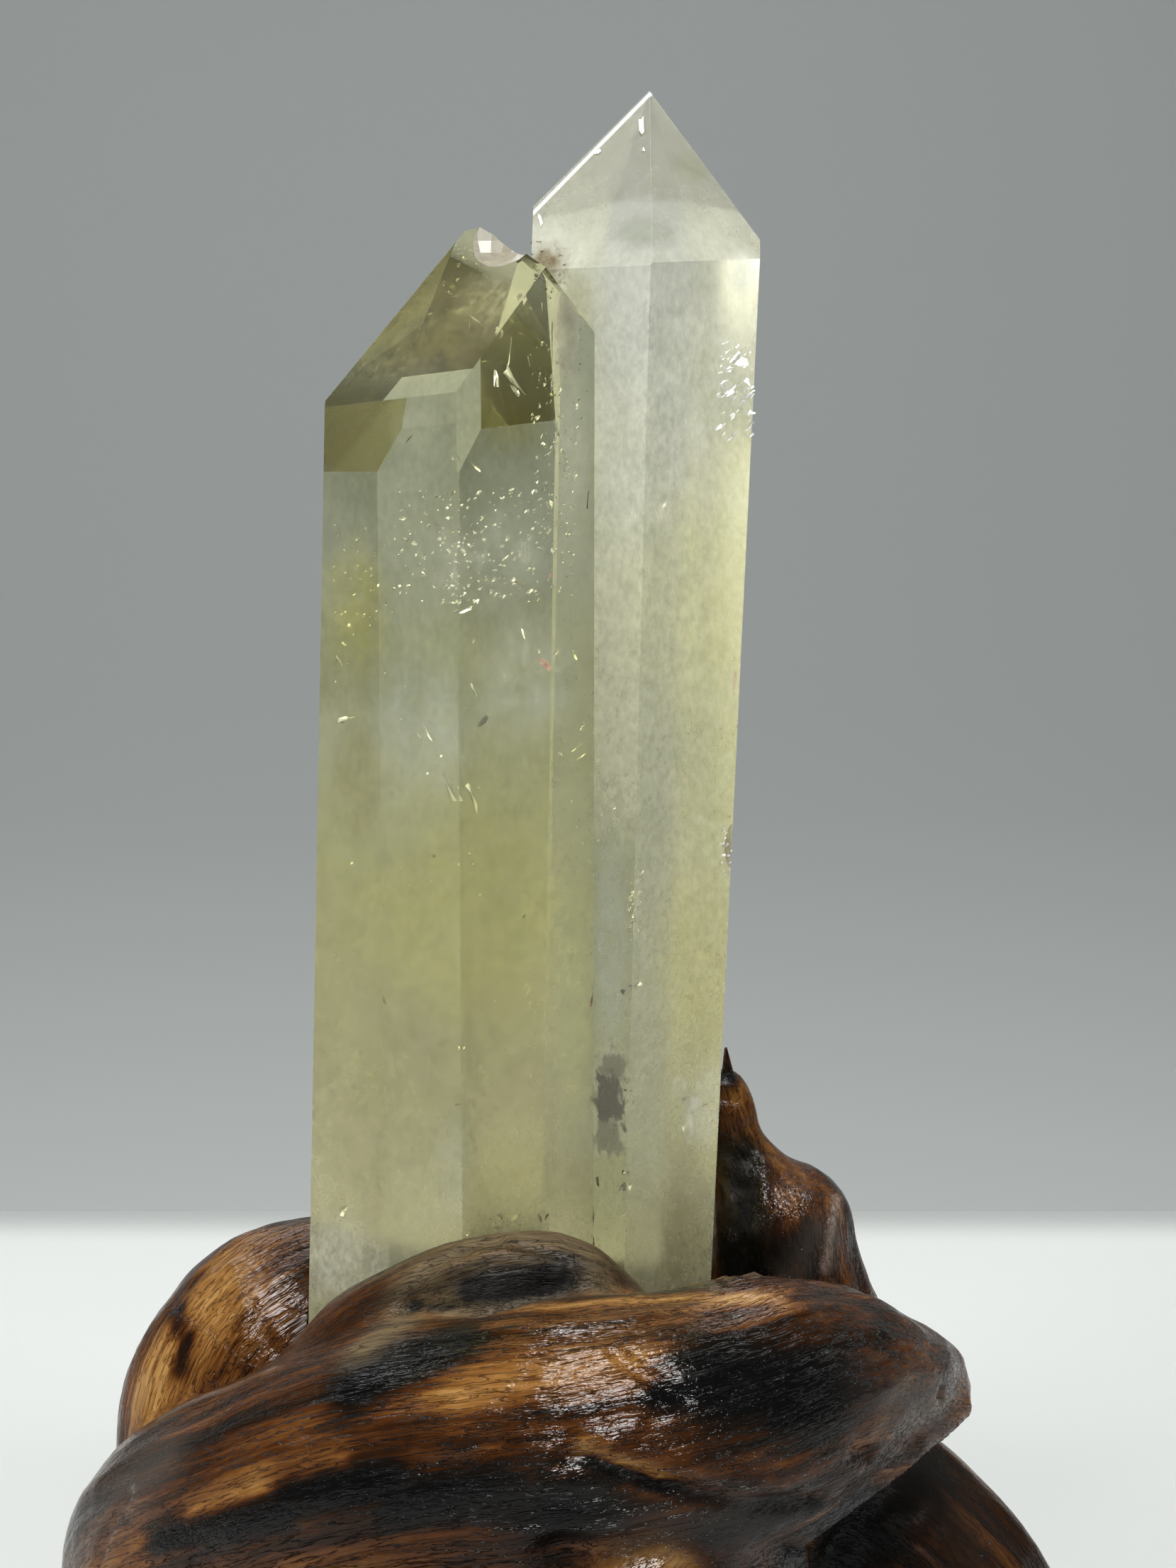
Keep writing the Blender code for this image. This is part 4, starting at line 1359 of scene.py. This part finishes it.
# %% Tinsel, feather and shards
DRAWN_TINSEL = [
    (683, 498, 716, 568, 1.3), (699, 509, 746, 559, 1.5), (716, 540, 742, 566, 0.7),
    (720, 475, 719, 515, 0.25), (703, 460, 706, 476, 0.6), (666, 445, 682, 462, 0.3),
    (664, 450, 660, 464, 0.2), (762, 420, 767, 458, 0.35), (777, 450, 780, 520, 0.30),
    (779, 520, 778, 565, 0.45), (738, 408, 734, 428, 0.7), (742, 500, 750, 520, 0.3),
    (634, 642, 652, 652, 0.7), (654, 648, 684, 666, 0.5), (779, 590, 792, 622, 0.5),
    (790, 625, 802, 655, 0.6), (768, 645, 782, 630, 0.5), (796, 655, 797, 672, 0.4),
    (606, 730, 624, 749, 0.9), (627, 700, 632, 692, 0.4), (768, 700, 784, 722, 1.0),
    (716, 694, 726, 690, 0.5), (929, 722, 943, 704, 0.7), (665, 755, 676, 750, 0.5),
    (592, 806, 606, 811, 0.5), (608, 824, 618, 832, 0.5), (570, 765, 578, 760, 0.4),
    (694, 818, 702, 814, 0.6), (716, 820, 742, 826, 0.7), (706, 789, 720, 784, 0.4),
    (778, 772, 784, 784, 0.6), (638, 862, 672, 856, 0.5), (482, 905, 490, 912, 0.7),
    (490, 885, 497, 880, 0.5), (475, 924, 482, 940, 0.3), (478, 1018, 500, 1010, 0.8),
    (594, 1020, 612, 1048, 0.5), (586, 1030, 600, 1052, 0.3), (608, 1060, 622, 1084, 0.4),
    (616, 1078, 651, 1136, 1.1), (655, 1096, 676, 1142, 1.1), (602, 1088, 606, 1092, 0.4),
    (757, 915, 764, 921, 0.5), (779, 926, 792, 916, 0.5), (807, 918, 815, 930, 0.4),
    (733, 886, 745, 905, 0.5), (664, 965, 674, 984, 0.4), (664, 908, 671, 902, 0.4),
    (785, 1062, 795, 1066, 0.35), (800, 1062, 826, 1048, 0.3), (812, 1070, 833, 1060, 0.3),
    (818, 1030, 826, 1022, 0.4), (895, 1268, 905, 1252, 0.8), (890, 1290, 896, 1275, 0.6),
    (888, 1310, 894, 1302, 0.7), (893, 1394, 906, 1388, 0.9), (884, 1562, 895, 1547, 0.4),
    (962, 1580, 972, 1600, 1.2), (996, 1584, 1010, 1578, 0.8), (877, 1684, 887, 1664, 1.2),
    (880, 1650, 886, 1660, 0.6), (842, 1655, 845, 1680, 0.5), (478, 1715, 490, 1700, 1.1),
    (652, 1744, 664, 1738, 0.7), (690, 1735, 712, 1728, 0.5), (716, 1722, 738, 1712, 0.5),
    (998, 1706, 1004, 1698, 0.5), (648, 1484, 654, 1476, 0.5), (640, 1560, 664, 1554, 0.3),
    (1018, 1200, 1030, 1212, 0.9), (1020, 1165, 1030, 1185, 0.6),
]
STREWN_TINSEL = [
    (560, 690, 815, 850, 260, (0.25, 1.1), (0.6, 8.0)),
    (470, 740, 560, 900, 60, (0.2, 0.7), (0.6, 5.0)),
    (750, 480, 815, 760, 110, (0.25, 1.0), (0.5, 4.0), 1.5),
    (820, 1020, 1010, 1200, 60, (0.2, 0.9), (0.3, 3.0), 0.4),
    (886, 1225, 908, 1330, 50, (0.3, 0.9), (0.1, 1.0), 1.0),
    (470, 900, 1040, 1750, 160, (0.15, 0.5), (0.3, 8.0), 0.6),
    (690, 1712, 740, 1738, 25, (0.3, 1.0), (0.1, 1.0), 0.5),
    (1016, 1165, 1036, 1235, 40, (0.3, 1.3), (0.0, 0.6), 1.2),
]
flake_cloud("tinsel_flakes", drawn(DRAWN_TINSEL) + strewn(STREWN_TINSEL), "tinsel")

# %% White chips of the skin, and painted glints at the taller tip
CHIP_DEPTH, CHIP_FACING = -0.2, (-0.2, -0.7, 0.6)
# The first four lines are white chips on the right edge, which also stand in for its sparkle; the last four
# are painted glints, white flakes where the taller tip catches the light.
DRAWN_CHIPS_AND_GLINTS = [
    (1030, 496, 1050, 520, 1.5), (1046, 525, 1058, 548, 1.3), (1018, 566, 1034, 546, 1.0),
    (1030, 596, 1036, 576, 0.8), (905, 160, 907, 192, 0.7), (908, 206, 909, 216, 0.5),
    (840, 220, 850, 208, 0.6), (760, 300, 764, 318, 0.8),
]
STREWN_CHIPS = [
    (1012, 480, 1062, 620, 70, (0.4, 1.4), (CHIP_DEPTH, 0.0), 1.2),
    (1016, 1165, 1034, 1235, 16, (0.3, 0.9), (CHIP_DEPTH, 0.0), 1.2),
]
chips_and_glints = drawn(DRAWN_CHIPS_AND_GLINTS, depth=CHIP_DEPTH) + strewn(STREWN_CHIPS)
chips_and_glints = [(middle, along, CHIP_FACING, size) for middle, along, _, size in chips_and_glints]
flake_cloud("white_chips_and_glints", chips_and_glints, "white_chip_and_glint")

# %% Rust, rosy spots and dark specks
SKIN_DEPTH, SPOT_DEPTH = 0.05, 0.8
STREWN_RUST = [
    (748, 338, 806, 402, 70, (0.3, 1.0), (0.0, 0.3), 0.0),
    (765, 400, 835, 620, 60, (0.15, 0.5), (0.0, 0.4), 1.5),
]
DRAWN_RUST = [
    (834, 1395, 836, 1420, 0.4), (758, 1710, 764, 1724, 0.5), (765, 1722, 776, 1712, 0.3),
    (836, 1700, 838, 1730, 0.4), (837, 1740, 838, 1790, 0.35), (855, 1765, 860, 1780, 0.3),
    (706, 1716, 710, 1722, 0.25),
]
flake_cloud("rust_in_groove", strewn(STREWN_RUST) + drawn(DRAWN_RUST, depth=SKIN_DEPTH), "rust")
ROSY_LINES = [(757, 932, 778, 944, 1.2), (771, 810, 781, 814, 0.6), (1035, 944, 1038, 980, 0.7)]
flake_cloud("rosy_spots", drawn(ROSY_LINES, depth=SPOT_DEPTH), "rosy_spot")
DARK_LINES = [
    (912, 415, 907, 455, 0.35), (829, 690, 829, 725, 0.2), (668, 1028, 690, 1012, 1.0),
    (872, 1398, 884, 1400, 0.9), (962, 1552, 978, 1556, 0.5), (985, 1562, 1003, 1556, 0.3),
    (998, 750, 1000, 780, 0.2), (540, 1405, 546, 1420, 0.4), (880, 1540, 892, 1536, 0.3),
    (736, 1296, 742, 1290, 0.4), (610, 1212, 614, 1204, 0.4), (478, 1010, 484, 1022, 0.5),
    (573, 625, 582, 612, 0.25), (845, 590, 852, 598, 0.3), (924, 596, 926, 602, 0.3),
    (998, 1120, 1015, 1112, 0.25),
]
flake_cloud("dark_specks", drawn(DARK_LINES), "dark_speck")

# %% [markdown]
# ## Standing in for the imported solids
# The fine wood takes the place of the four plain solids of the stand, and the fine stone that of the
# plain stone. Both ride on the one body, because nothing here moves.

# %% Ride and replace
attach(wood, "root")
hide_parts(*[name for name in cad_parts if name.startswith("root_stand")])
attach(crystal, "root")
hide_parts("citrine_twin_crystal")
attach(milky_skin, "root")
